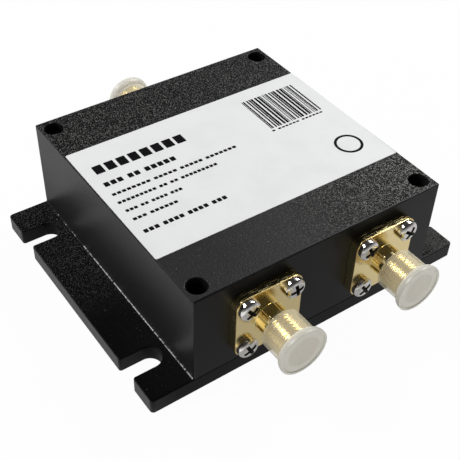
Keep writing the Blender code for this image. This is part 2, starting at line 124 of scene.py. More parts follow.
class Graph:
    """A material's node tree, with one method that makes any node."""

    def __init__(self, owner: Union[str, bpy.types.World]) -> None:
        """Start an empty node tree.

        Args:
            owner: The name of a new material, or the world that owns the tree.
        """
        self.material = bpy.data.materials.new(owner) if isinstance(owner, str) else owner
        self.material.use_nodes = True
        self.tree = self.material.node_tree
        self.tree.nodes.clear()

    def node(self, kind: str, settings: Optional[dict[str, Any]] = None,
             inputs: Optional[dict[Union[str, int], Any]] = None) -> bpy.types.Node:
        """Make a node.

        Args:
            kind: The node's type, such as ShaderNodeMath.
            settings: The node's own settings, set first.
            inputs: For each input, by name or number, its value, socket or Value. None leaves it alone.

        Returns:
            The new node.
        """
        made = self.tree.nodes.new(kind)
        for key, setting in (settings or {}).items():
            setattr(made, key, setting)
        for key, given in (inputs or {}).items():
            if isinstance(given, (Value, Socket)):
                self.tree.links.new(getattr(given, "socket", given), made.inputs[key])
            elif given is not None:
                made.inputs[key].default_value = given
        return made

    def value(self, kind: str, output: Union[str, int], settings: Optional[dict[str, Any]] = None,
              inputs: Optional[dict[Union[str, int], Any]] = None) -> Value:
        """Make a node and return one of its outputs as a Value."""
        return Value(self, self.node(kind, settings, inputs).outputs[output])

    def place(self, centre: Vector = Vector(), stretch: Colour = (1, 1, 1)) -> Socket:
        """Find the surface point in the object's own axes.

        Args:
            centre: What is taken from it.
            stretch: What its three numbers are then multiplied by.

        Returns:
            The point.
        """
        coordinates = self.node("ShaderNodeTexCoord").outputs["Object"]
        shifted = self.node("ShaderNodeVectorMath", {"operation": "SUBTRACT"}, {0: coordinates, 1: centre})
        stretched = self.node("ShaderNodeMapping", None, {"Vector": shifted.outputs[0], "Scale": stretch})
        return stretched.outputs[0]

    def facing(self) -> Socket:
        """Return the surface's own normal, before any relief."""
        return self.node("ShaderNodeTexCoord").outputs["Normal"]

    def grazing(self) -> Value:
        """Return 0 where the surface faces the eye and 1 where it is seen edge on."""
        return self.value("ShaderNodeLayerWeight", "Facing", None, {"Blend": 0.5})

    def parts(self, vector: Socket) -> list[Value]:
        """Return a vector's x, y and z."""
        split = self.node("ShaderNodeSeparateXYZ", None, {0: vector})
        return [Value(self, output) for output in split.outputs]

    def round_port(self, axis: Pair) -> tuple[Socket, Value, Value]:
        """Measure from a port's axis, which runs along Y.

        Args:
            axis: The axis's x and z.

        Returns:
            The surface point from the axis, how far it is from the housing's middle, and its radius.
        """
        at = self.place(Vector((axis[0], 0.0, axis[1])))
        across, along, up = self.parts(at)
        return at, abs(along), (across * across + up * up) ** 0.5

    def noise(self, at: Socket, size: float, detail: float = 2.0, roughness: float = 0.5) -> Value:
        """Return soft noise from 0 to 1 whose features are about as wide as size."""
        return self.value("ShaderNodeTexNoise", 0, None,
                          {"Vector": at, "Scale": 1 / size, "Detail": detail, "Roughness": roughness})

    def blend(self, mask: Number, first: Any, second: Any) -> Socket:
        """Return the first colour where the mask is 0 and the second where it is 1."""
        pair = {6: self._colour(first), 7: self._colour(second), 0: mask}
        return self.node("ShaderNodeMix", {"data_type": "RGBA"}, pair).outputs[2]

    @staticmethod
    def _colour(given: Any) -> Any:
        """Give a plain colour its fourth number, and leave anything else as it is."""
        return (*given, 1.0) if isinstance(given, tuple) else given

    def bump(self, height: Value, depth: float) -> Socket:
        """Return the normal of a relief of the given depth."""
        relief = {"Height": height, "Distance": depth, "Strength": 1.0}
        return self.node("ShaderNodeBump", None, relief).outputs[0]

    def surface(self, **inputs: Any) -> Material:
        """Finish the material with a Principled shader.

        Args:
            **inputs: The shader's inputs, with _ for a space and a capital for each word.

        Returns:
            The material.
        """
        named = {key.replace("_", " "): self._colour(given) for key, given in inputs.items()}
        shader = self.node("ShaderNodeBsdfPrincipled", None, named)
        self.node("ShaderNodeOutputMaterial", None, {"Surface": shader.outputs[0]})
        return self.material


@dataclass(frozen=True)
class Finish:
    """What every finish has: a name for its material and the record's slot that it stands for."""

    title: str
    slot: str

    def material(self) -> Material:
        """Return the finish's material, made once."""
        found = bpy.data.materials.get(self.title)
        return found if found is not None else self.paint(Graph(self.title))

    def paint(self, graph: Graph) -> Material:
        """Build the material's nodes in an empty graph, and return the material."""
        raise NotImplementedError


@dataclass(frozen=True)
class PowderCoat(Finish):
    """Black powder coat with a pebbled skin on milled aluminium, with a painted sheen on its top faces,
    painted light on its upright faces and painted glints on its grain at the right front and the back.
    """

    title: str = "black powder coat"
    slot: str = "powder_coat"
    black: Colour = (0.0015, 0.0015, 0.0020)
    # Painted light in the next five colours: a sheen on the top faces, glints on specks, lighter upright
    # faces, a sheen on the top faces far to the right, and glints on the grain's crests.
    top_sheen: Colour = (0.056, 0.055, 0.054)
    speck_glint: Colour = (0.34, 0.34, 0.32)
    side_sheen: Colour = (0.013, 0.013, 0.0145)
    dust: Colour = (0.13, 0.13, 0.125)
    crest: Colour = (0.345, 0.342, 0.33)
    shine: float = 0.19
    pebble: float = 0.36 * MM
    grit: float = 0.15 * MM
    crest_size: float = 0.19 * MM
    speck_size: float = 0.15 * MM
    drift: float = 9.0 * MM
    depth: float = 0.17 * MM
    cover: Pair = (0.55, 0.63)
    crests: Pair = (0.565, 0.625)
    glint_specks: Pair = (0.66, 0.82)
    lying: Pair = (0.75, 0.97)
    standing: Pair = (0.5, 0.9)
    brow: Pair = (-26.05 * MM, -25.75 * MM)
    front: Pair = (-8 * MM, 4 * MM)
    right: Pair = (-9 * MM, 24 * MM)
    left_end: Pair = (-16 * MM, 0.0)
    coarse: Pair = (-14 * MM, 24 * MM)
    matt: Pair = (-16 * MM, 16 * MM)
    calm_front: Pair = (-17 * MM, -2 * MM)
    calm_left: Pair = (-10 * MM, 16 * MM)
    right_sheen_span: Pair = (40 * MM, 43 * MM)

    def paint(self, graph: Graph) -> Material:
        """Build the material's nodes.

        Args:
            graph: The empty graph.

        Returns:
            The material.
        """
        at = graph.place()
        across, along, _ = graph.parts(at)
        sideways, forwards, up = graph.parts(graph.facing())
        pebbles = graph.noise(at, self.pebble, 2.0, 0.6)
        crests = graph.noise(at, self.crest_size, 1.0)
        level = up.ramp(*self.lying) * along.ramp(*self.brow)
        front = along.ramp(*self.front, 1.0, 0.0)
        back = 1.0 - front
        right = across.ramp(*self.right)
        calm = along.ramp(*self.calm_front, 0.92, 0.0) * across.ramp(*self.calm_left, 1.0, 0.0)
        # Painted sheen: a lighter mottle, almost only on the top faces, mostly on their front half, even at
        # the front left and left out at the front top edge.
        mottle = pebbles.ramp(*self.cover) * (1.0 - calm) * (0.12 + front * 0.88 - right * front * 0.80)
        skin = graph.blend((mottle + calm * 0.38) * (0.08 + level * 0.92), self.black, self.top_sheen)
        # Painted glints: the grain's crests on the top faces are painted pale at the right front and at the
        # back.
        raised = (crests - back * (0.02 + right * 0.02)).ramp(*self.crests)
        skin = graph.blend(raised * (right * front * 0.76 + back * 0.42) * level, skin, self.crest)
        # Painted light: upright faces are painted a little lighter than black, the sides fully and the front
        # and back faces towards their ends.
        ends = across.ramp(*self.left_end, 1.0, 0.0) + right * 0.5
        side = abs(sideways).ramp(*self.standing) + abs(forwards).ramp(*self.standing) * ends * 0.6
        skin = graph.blend(side * (0.55 + pebbles.ramp(0.42, 0.62) * 0.25), skin, self.side_sheen)
        # Painted sheen: the top faces far to the right are painted lighter over the grain's crests; on the
        # plate this is its right ear.
        skin = graph.blend(across.ramp(*self.right_sheen_span) * level * crests.ramp(0.35, 0.65), skin, self.dust)
        # Painted glints: small pale specks, mostly on the top faces, fewer at the left front and at the back.
        coarser = across.ramp(*self.coarse, -0.10, 0.02) * front - back * 0.03
        glint_specks = (graph.noise(at, self.speck_size, 0.0) + coarser).ramp(*self.glint_specks)
        skin = graph.blend(glint_specks * (0.08 + level * 0.92), skin, self.speck_glint)
        matter = across.ramp(*self.matt) * front * 0.42 - back * 0.10
        gloss = 0.30 + level * (matter - 0.08) + (1.0 - pebbles) * (0.06 + level * 0.18)
        gloss = gloss + graph.noise(at, self.drift, 3.0) * 0.06
        relief = pebbles + graph.noise(at, self.grit, 1.0) * 0.3
        relief = relief * (0.22 + level * 0.36) * (1.0 - calm * 0.5)
        return graph.surface(Base_Color=skin, Roughness=gloss, Specular_IOR_Level=self.shine,
                             Normal=graph.bump(relief, self.depth))


@dataclass(frozen=True)
class PaleFootStrip(Finish):
    """A pale, partly metallic strip along the housing's foot, solid towards the front and broken into dots
    further back, dark between.
    """

    title: str = "pale foot strip"
    slot: str = "powder_coat"
    # The strip's pale colour and the dark colour between its pieces.
    metal: Colour = (0.85, 0.85, 0.84)
    coat: Colour = (0.02, 0.02, 0.022)
    worn: Pair = (-4.0 * MM, 18.0 * MM)
    chip: float = 0.9 * MM
    dot: float = 0.45 * MM
    scratch: float = 0.12 * MM
    depth: float = 0.008 * MM

    def paint(self, graph: Graph) -> Material:
        """Build the material's nodes.

        Args:
            graph: The empty graph.

        Returns:
            The material.
        """
        at = graph.place()
        _, along, _ = graph.parts(at)
        # The strip is pale where this mask is high: more towards the front, in patches and dots.
        chips = along.ramp(*self.worn, 0.75, 0.22) + graph.noise(at, self.chip, 3.0, 0.6) - 0.5
        bare = chips.ramp(0.3, 0.5) * graph.noise(at, self.dot, 1.0).ramp(0.38, 0.52)
        streaks = graph.noise(graph.place(stretch=(1, 0.08, 1)), self.scratch)
        return graph.surface(Base_Color=graph.blend(bare, self.coat, self.metal), Metallic=bare * 0.3,
                             Roughness=0.38 + streaks * 0.3, Normal=graph.bump(streaks, self.depth))


@dataclass(frozen=True)
class Mottled(Finish):
    """Two close colours in soft patches, which differ a little in gloss too, over a fine grain."""

    first: Colour = (0.5, 0.5, 0.5)
    second: Colour = (0.5, 0.5, 0.5)
    patch: float = 1.0 * MM
    detail: float = 2.0
    share: Pair = (0.35, 0.75)
    smooth: float = 0.4
    rougher: float = 0.1
    metal: float = 0.0
    shine: float = 0.5
    grain: float = 0.1 * MM
    depth: float = 0.0

    def paint(self, graph: Graph) -> Material:
        """Build the material's nodes.

        Args:
            graph: The empty graph.

        Returns:
            The material.
        """
        at = graph.place()
        patches = graph.noise(at, self.patch, self.detail)
        normal = graph.bump(graph.noise(at, self.grain), self.depth) if self.depth else None
        return graph.surface(Base_Color=graph.blend(patches.ramp(*self.share), self.first, self.second),
                             Roughness=self.smooth + patches * self.rougher, Metallic=self.metal,
                             Specular_IOR_Level=self.shine, Normal=normal)


@dataclass(frozen=True)
class LabelStock(Mottled):
    """White satin film with a faint mottle."""

    title: str = "white label film"
    slot: str = "label_stock"
    first: Colour = (0.83, 0.835, 0.835)
    second: Colour = (0.79, 0.795, 0.80)
    patch: float = 5.0 * MM
    detail: float = 3.0
    smooth: float = 0.36
    rougher: float = 0.12
    shine: float = 0.4
    grain: float = 0.09 * MM
    depth: float = 0.002 * MM


@dataclass(frozen=True)
class Ink(Mottled):
    """Black thermal-transfer print with small breaks in its cover."""

    title: str = "black print"
    slot: str = "label_stock"
    first: Colour = (0.004, 0.004, 0.005)
    second: Colour = (0.016, 0.016, 0.017)
    patch: float = 0.12 * MM
    share: Pair = (0.55, 0.75)
    smooth: float = 0.5
    shine: float = 0.04


@dataclass(frozen=True)
class Copper(Mottled):
    """Etched copper foil with a light tarnish."""

    title: str = "copper foil"
    slot: str = "tinned_copper"
    first: Colour = (0.80, 0.46, 0.30)
    second: Colour = (0.52, 0.28, 0.17)
    patch: float = 3.0 * MM
    detail: float = 4.0
    share: Pair = (0.4, 0.7)
    smooth: float = 0.25
    rougher: float = 0.2
    metal: float = 1.0
    depth: float = 0.005 * MM


@dataclass(frozen=True)
class GoldPlate(Finish):
    """Gold plate: a grained front face and streaked sides on the flange, painted shade on the sides next to
    the front face, and polished elsewhere.
    """

    title: str = "gold plate"
    slot: str = "gold_plate"
    bright: Colour = (0.96, 0.81, 0.42)
    deep: Colour = (0.86, 0.67, 0.28)
    sand: Colour = (0.97, 0.79, 0.41)
    # Painted shade for the flange's sides next to its front face.
    brink_shade: Colour = (0.66, 0.49, 0.19)
    axis: Pair = (0.0, 0.0)
    face: float = 27.98 * MM
    near_face: Pair = (0.02 * MM, 0.05 * MM)
    brink: Pair = (27.81 * MM, 27.87 * MM)
    thread: Pair = (30.7 * MM, 31.0 * MM)
    past_neck: Pair = (3.15 * MM, 3.25 * MM)
    past_foot: Pair = (4.65 * MM, 5.65 * MM)
    cloud: float = 2.2 * MM
    grain: float = 0.07 * MM
    tooling: float = 0.11 * MM
    streak: float = 0.17 * MM
    depth: float = 0.008 * MM

    def paint(self, graph: Graph) -> Material:
        """Build the material's nodes.

        Args:
            graph: The empty graph.

        Returns:
            The material.
        """
        at, reach, radius = graph.round_port(self.axis)
        on_face = abs(reach - self.face).ramp(*self.near_face, 1.0, 0.0)
        satin = on_face * radius.ramp(*self.past_neck)
        side = radius.ramp(*self.past_foot) * (1.0 - on_face)
        brink = reach.ramp(*self.brink) * side
        worn = reach.ramp(*self.thread)
        cloud = graph.noise(at, self.cloud, 3.0)
        grain = graph.noise(at, self.grain, 2.0, 0.6)
        tooling = graph.noise(graph.place(stretch=(1.0, 0.12, 1.0)), self.tooling)
        streaks = graph.noise(graph.place(stretch=(0.06, 1.0, 0.06)), self.streak, 2.0, 0.6).ramp(0.50, 0.70)
        streaks = streaks * (side - brink)
        skin = graph.blend(cloud.ramp(0.35, 0.7) * 0.6, self.bright, self.deep)
        # Painted shade: the flange's sides next to its front face are painted darker, to dim their glint; the
        # front face is satin.
        skin = graph.blend(satin, graph.blend(brink, skin, self.brink_shade), self.sand)
        gloss = 0.08 + satin * 0.05 + cloud * 0.04 + worn * 0.14 + brink * 0.5 + streaks * 0.3
        relief = grain * satin * 0.6 + tooling * (1.0 - satin) * (0.25 - worn * 0.2) + streaks * 0.2
        return graph.surface(Base_Color=skin, Metallic=1.0, Roughness=gloss,
                             Normal=graph.bump(relief, self.depth))


@dataclass(frozen=True)
class NickelPlate(Finish):
    """Bright nickel plate with faint tooling marks, and painted shade in the recesses."""

    title: str = "nickel plate"
    slot: str = "nickel_plate"
    bright: Colour = (0.84, 0.815, 0.78)
    dull: Colour = (0.60, 0.58, 0.55)
    # Painted shade for the recesses.
    recess_shade: Colour = (0.10, 0.094, 0.085)
    tarnish: float = 0.8 * MM
    mark: float = 0.12 * MM
    depth: float = 0.006 * MM
    recess: str = "recess"

    def paint(self, graph: Graph) -> Material:
        """Build the material's nodes.

        Args:
            graph: The empty graph.

        Returns:
            The material.
        """
        at = graph.place()
        tarnish = graph.noise(at, self.tarnish, 3.0)
        marks = graph.noise(at, self.mark)
        sunk = graph.value("ShaderNodeAttribute", "Fac", {"attribute_name": self.recess})
        metal = graph.blend(tarnish.ramp(0.4, 0.75), self.bright, self.dull)
        # Painted shade: faces marked as in the recess are painted dark, and are rougher.
        return graph.surface(Base_Color=graph.blend(sunk * 0.78, metal, self.recess_shade), Metallic=1.0,
                             Roughness=0.06 + tarnish * 0.06 + marks * 0.04 + sunk * 0.3,
                             Normal=graph.bump(marks, self.depth))


@dataclass(frozen=True)
class CapPlastic(Finish):
    """Milky polyethylene: thin and clear on the sleeve, thick and cloudy at the closed end, with painted
    shade on the rim's side and where it is seen edge on.
    """

    title: str = "cap plastic"
    slot: str = "cap_plastic"
    honey: Colour = (0.97, 0.89, 0.64)
    milk: Colour = (0.96, 0.915, 0.80)
    haze: Colour = (0.98, 0.95, 0.85)
    shade: Colour = (0.83, 0.78, 0.665)
    # Painted shade: the next colour darkens the rim's side, the one after it the surface where it is seen
    # edge on.
    edge: Colour = (0.65, 0.625, 0.55)
    grazing_shade: Colour = (0.42, 0.41, 0.38)
    thin: float = 0.22
    cover: float = 0.88
    axis: Pair = (0.0, 0.0)
    clearing: Pair = (35.0 * MM, 36.3 * MM)
    rounding: Pair = (35.0 * MM, 35.9 * MM)
    closing: Pair = (36.3 * MM, 36.6 * MM)
    inner_disc: Pair = (2.7 * MM, 3.1 * MM)
    cloud: float = 1.6 * MM
    grain: float = 0.15 * MM
    depth: float = 0.006 * MM

    def paint(self, graph: Graph) -> Material:
        """Build the material's nodes.

        Args:
            graph: The empty graph.

        Returns:
            The material.
        """
        at, reach, radius = graph.round_port(self.axis)
        cloud = graph.noise(at, self.cloud, 3.0)
        disc = reach.ramp(*self.closing) * radius.ramp(*self.inner_disc, 0.8, 0.0)
        skin = graph.blend(reach.ramp(*self.clearing), self.honey, graph.blend(cloud, self.milk, self.haze))
        skin = graph.blend(disc * (0.6 + cloud * 0.6), skin, self.shade)
        _, onwards, _ = graph.parts(graph.facing())
        # Painted shade on the rim's side, where its faces turn sideways.
        rounded = reach.ramp(*self.rounding) * abs(onwards).ramp(0.15, 0.85, 1.0, 0.0)
        skin = graph.blend(rounded, skin, self.edge)
        # Painted shade where the surface is seen edge on.
        skin = graph.blend(graph.grazing() ** 8.0 * 0.7, skin, self.grazing_shade)
        cover = reach.ramp(*self.clearing, self.thin, self.cover) + graph.grazing() ** 2.5 * 0.55
        return graph.surface(Base_Color=skin, Roughness=0.26 + cloud * 0.12, Alpha=cover + cloud * 0.05,
                             Normal=graph.bump(graph.noise(at, self.grain), self.depth))


@dataclass(frozen=True)
class Fluoropolymer(Finish):
    """White, waxy insulator with faint turning marks."""

    title: str = "white fluoropolymer"
    slot: str = "fluoropolymer"
    white: Colour = (0.86, 0.86, 0.84)
    grey: Colour = (0.78, 0.78, 0.76)
    mark: float = 0.2 * MM
    depth: float = 0.004 * MM

    def paint(self, graph: Graph) -> Material:
        """Build the material's nodes.

        Args:
            graph: The empty graph.

        Returns:
            The material.
        """
        turning = graph.noise(graph.place(stretch=(0.2, 1, 0.2)), self.mark)
        return graph.surface(Base_Color=graph.blend(turning, self.white, self.grey),
                             Roughness=0.45 + turning * 0.1, Normal=graph.bump(turning, self.depth))


@dataclass(frozen=True)
class Laminate(Finish):
    """Glass-reinforced microwave laminate, whose weave shows through the resin."""

    title: str = "board laminate"
    slot: str = "board_laminate"
    resin: Colour = (0.70, 0.66, 0.50)
    thread: Colour = (0.60, 0.55, 0.38)
    weave: float = 0.5 * MM
    depth: float = 0.01 * MM

    def paint(self, graph: Graph) -> Material:
        """Build the material's nodes.

        Args:
            graph: The empty graph.

        Returns:
            The material.
        """
        across, along, _ = graph.parts(graph.place())
        warp, weft = (abs((way % self.weave) / self.weave - 0.5) for way in (across, along))
        mesh = (warp * weft).ramp(0.02, 0.12)
        return graph.surface(Base_Color=graph.blend(mesh, self.thread, self.resin),
                             Roughness=0.45 + mesh * 0.1, Normal=graph.bump(mesh, self.depth))


@dataclass(frozen=True)
class ChipBody(Finish):
    """Thick-film chip: a black glazed body between two tinned ends."""

    title: str = "resistor chip"
    slot: str = "chip_ceramic"
    glaze: Colour = (0.02, 0.02, 0.022)
    tin: Colour = (0.66, 0.66, 0.64)
    body: Pair = (0.68 * MM, 0.71 * MM)
    grain: float = 0.08 * MM
    depth: float = 0.004 * MM

    def paint(self, graph: Graph) -> Material:
        """Build the material's nodes.

        Args:
            graph: The empty graph.

        Returns:
            The material.
        """
        at = graph.place()
        across, _, _ = graph.parts(at)
        tinned = abs(across).ramp(*self.body)
        grain = graph.noise(at, self.grain)
        return graph.surface(Base_Color=graph.blend(tinned, self.glaze, self.tin), Metallic=tinned,
                             Roughness=0.3 + grain * 0.15, Normal=graph.bump(grain, self.depth))


class Join(Enum):
    """How one closed form meets another."""

    CUT = "DIFFERENCE"
    MERGE = "UNION"


EdgeTest = Callable[[Edge], bool]


def arc(centre: Pair, radii: Pair, start: float, stop: float, steps: int) -> Profile:
    """Return points along an arc, which may be stretched.

    Args:
        centre: The arc's centre.
        radii: Its radius across and its radius up.
        start: The angle of its first point.
        stop: The angle of its last point.
        steps: How many faces it makes.

    Returns:
        The points, both ends included.
    """
    angles = [start + (stop - start) * step / steps for step in range(steps + 1)]
    return [(centre[0] + radii[0] * math.cos(angle), centre[1] + radii[1] * math.sin(angle))
            for angle in angles]


class Form:
    """A closed mesh in the making, shaped with bmesh operators."""

    same_point = 0.0005 * MM
    flat_from = 0.3 * MM
    near = 0.01 * MM
    past = 1.0 * MM
    square_on = 0.99999
    smooth_below = math.radians(40)

    def __init__(self, mesh: Optional[bmesh.types.BMesh] = None) -> None:
        """Start with a mesh, or with nothing."""
        self.mesh = bmesh.new() if mesh is None else mesh

    @classmethod
    def block(cls, low: Vector, high: Vector) -> "Form":
        """Make a box.

        Args:
            low: Its lowest corner.
            high: Its highest corner.

        Returns:
            The box.
        """
        form = cls()
        bmesh.ops.create_cube(form.mesh, size=1.0)
        bmesh.ops.scale(form.mesh, vec=high - low, verts=form.mesh.verts)
        bmesh.ops.translate(form.mesh, vec=(low + high) / 2, verts=form.mesh.verts)
        return form

    @classmethod
    def slab(cls, width: float, depth: float, low: float, high: float) -> "Form":
        """Return a box centred on Z."""
        return cls.block(Vector((-width / 2, -depth / 2, low)), Vector((width / 2, depth / 2, high)))

    @classmethod
    def turned(cls, profile: Profile, segments: int = 64, ring: bool = False) -> "Form":
        """Spin a profile round Z.

        Args:
            profile: The (radius, height) points. Unless it is a ring's, it starts and ends on the axis.
            segments: How many faces go round.
            ring: Whether the profile's ends are joined too.

        Returns:
            The closed form.
        """
        form = cls()
        points = [form.mesh.verts.new((radius, 0.0, height)) for radius, height in profile]
        ends = points[1:] + points[:1] if ring else points[1:]
        edges = [form.mesh.edges.new(pair) for pair in zip(points, ends)]
        bmesh.ops.spin(form.mesh, geom=points + edges, axis=(0, 0, 1), cent=(0, 0, 0), angle=FULL_TURN,
                       steps=segments, use_merge=True)
        bmesh.ops.remove_doubles(form.mesh, verts=form.mesh.verts, dist=cls.same_point)
        return form.outwards()

    @classmethod
    def rod(cls, radius: float, low: float, high: float, segments: int) -> "Form":
        """Return a plain cylinder on Z."""
        return cls.turned([(0, low), (radius, low), (radius, high), (0, high)], segments)

    @classmethod
    def drill(cls, lower: Profile, face: float, lip: float, segments: int) -> "Form":
        """Return the cutter of a hole whose rim is rounded where it opens a face.

        Args:
            lower: The profile up to the last step, whose radius is the hole's at the face.
            face: The face's height.
            lip: The rim's radius.
            segments: How many faces go round.

        Returns:
            The cutter.
        """
        rim_r = lower[-1][0] + lip
        rim = arc((rim_r, face - lip), (lip, lip), math.pi, QUARTER, steps=4)
        top = face + cls.past
        return cls.turned([(0, lower[0][1]), *lower, *rim, (rim_r, top), (0, top)], segments)

    def outwards(self) -> "Form":
        """Turn every face outwards."""
        bmesh.ops.recalc_face_normals(self.mesh, faces=self.mesh.faces)
        return self

    def raised(self, height: float, share: float) -> "Form":
        """Extrude the topmost face.

        Args:
            height: How far up it goes.
            share: How wide it ends, as a share of its width.

        Returns:
            The form itself.
        """
        top = max(self.mesh.faces, key=lambda face: face.calc_center_median().z)
        made = bmesh.ops.extrude_face_region(self.mesh, geom=[top])
        moved = [item for item in made["geom"] if isinstance(item, bmesh.types.BMVert)]
        bmesh.ops.scale(self.mesh, vec=(share, share, 1), verts=moved)
        bmesh.ops.translate(self.mesh, vec=(0, 0, height), verts=moved)
        bmesh.ops.delete(self.mesh, geom=[top], context="FACES_ONLY")
        return self.outwards()

    def bevel(self, chosen: EdgeTest, width: float, segments: int) -> "Form":
        """Round the edges that pass a test.

        Args:
            chosen: The test, given each edge.
            width: The round's radius.
            segments: How many faces it has.

        Returns:
            The form itself.
        """
        edges = [edge for edge in self.mesh.edges if chosen(edge)]
        bmesh.ops.bevel(self.mesh, geom=edges, offset=width, segments=segments, profile=0.5,
                        affect="EDGES", material=-1)
        return self

    def threaded(self, radius: float, pitch: float, low: float, high: float,
                 groove: Callable[[float, float], float]) -> "Form":
        """Press a helical thread into the points of a cylinder.

        Args:
            radius: The cylinder's radius.
            pitch: How far one turn climbs.
            low: Where the thread starts.
            high: Where it ends.
            groove: Returns the depth, given 0 at a crest to 1 at a root, and the height.

        Returns:
            The form itself.
        """
        for vert in self.mesh.verts:
            if abs(vert.co.xy.length - radius) <= self.near and low <= vert.co.z <= high:
                turn = math.atan2(vert.co.y, vert.co.x) / FULL_TURN
                phase = (vert.co.z / pitch + turn) % 1.0
                vert.co.xy *= (radius - groove(abs(2 * phase - 1), vert.co.z)) / radius
        return self

    def moved(self, matrix: Matrix) -> "Form":
        """Apply a matrix and return the form."""
        bmesh.ops.transform(self.mesh, matrix=matrix, verts=self.mesh.verts)
        return self

    def shifted(self, x: float, y: float) -> "Form":
        """Move the form and return it."""
        return self.moved(Matrix.Translation((x, y, 0)))

    def turned_by(self, angle: float) -> "Form":
        """Turn the form about Z and return it."""
        return self.moved(Matrix.Rotation(angle, 4, "Z"))

    def copied(self) -> "Form":
        """Return a second form like this one."""
        return Form(self.mesh.copy())

    def with_all(self, others: Iterable["Form"]) -> "Form":
        """Take separate forms into this one's mesh.

        Args:
            others: The forms, which are used up.

        Returns:
            The form itself.
        """
        for other in others:
            mesh = bpy.data.meshes.new("taken")
            other.mesh.to_mesh(mesh)
            other.mesh.free()
            self.mesh.from_mesh(mesh)
            bpy.data.meshes.remove(mesh)
        return self

    def joined(self, how: Join, tools: Iterable["Form"]) -> "Form":
        """Cut this form by others, or merge it with them.

        Args:
            how: Whether the others are cut away or merged in.
            tools: The other closed forms, which are used up.

        Returns:
            The form itself, with the result as its mesh.
        """
        body, tool = self._loose("body"), Form().with_all(tools)._loose("tool")
        modifier = body.modifiers.new("join", "BOOLEAN")
        modifier.operation = how.value
        modifier.solver = "EXACT"
        modifier.object = tool
        bpy.context.view_layer.update()
        graph = bpy.context.evaluated_depsgraph_get()
        result = bpy.data.meshes.new_from_object(body.evaluated_get(graph))
        self.mesh = bmesh.new()
        self.mesh.from_mesh(result)
        bmesh.ops.remove_doubles(self.mesh, verts=self.mesh.verts, dist=self.same_point)
        bpy.data.meshes.remove(result)
        for used in (body, tool):
            mesh = used.data
            bpy.data.objects.remove(used, do_unlink=True)
            bpy.data.meshes.remove(mesh)
        return self

    def _loose(self, name: str) -> bpy.types.Object:
        """Put the form's mesh in the scene and free the form.

        Args:
            name: The object's name.

        Returns:
            The object.
        """
        mesh = bpy.data.meshes.new(name)
        self.mesh.to_mesh(mesh)
        self.mesh.free()
        return stood(name, mesh)

    def published(self, name: str, finish: Finish, *stands_for: str) -> None:
        """Put the form in the scene as a finished piece.

        Broad flat faces stay flat, and all others are shaded smooth up to their real edges.

        Args:
            name: The piece's name.
            finish: The finish of its whole surface.
            *stands_for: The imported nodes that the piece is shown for.
        """
        item = self._loose(name)
        mesh = item.data
        mesh.shade_smooth()
        mesh.set_sharp_from_angle(angle=self.smooth_below)
        for face in mesh.polygons:
            straight = max(abs(part) for part in face.normal) > self.square_on
            face.use_smooth = not (straight and face.area > self.flat_from ** 2)
        mesh.materials.append(finish.material())
        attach(item, "root")
        if stands_for:
            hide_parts(*stands_for)
        log.info("%s: %d faces, %s", name, len(mesh.polygons), finish.title)


def stood(name: str, data: Any) -> bpy.types.Object:
    """Stand something in the scene.

    Args:
        name: Its object's name.
        data: The mesh, lamp or camera.

    Returns:
        The object.
    """
    item = bpy.data.objects.new(name, data)
    bpy.context.scene.collection.objects.link(item)
    return item


def upright(edge: Edge, share: float = 0.999) -> bool:
    """Say whether an edge runs along Z, for at least a share of its length."""
    return abs((edge.verts[0].co - edge.verts[1].co).normalized().z) > share


def at_height(height: float) -> EdgeTest:
    """Return a test for edges that lie at one height."""
    return lambda edge: all(abs(vert.co.z - height) < Form.same_point for vert in edge.verts)


def corners(half_x: float, half_y: float) -> list[Pair]:
    """Return a rectangle's corners, counterclockwise from the left front."""
    return [(-half_x, -half_y), (half_x, -half_y), (half_x, half_y), (-half_x, half_y)]


def centre_of(node: str) -> Vector:
    """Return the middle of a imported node's box."""
    low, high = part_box(node)
    return (low + high) / 2


def cover_screw_places() -> list[Vector]:
    """Return the middle of each packed cover screw."""
    return [centre_of(f"cover_screw_{number}") for number in range(1, 5)]


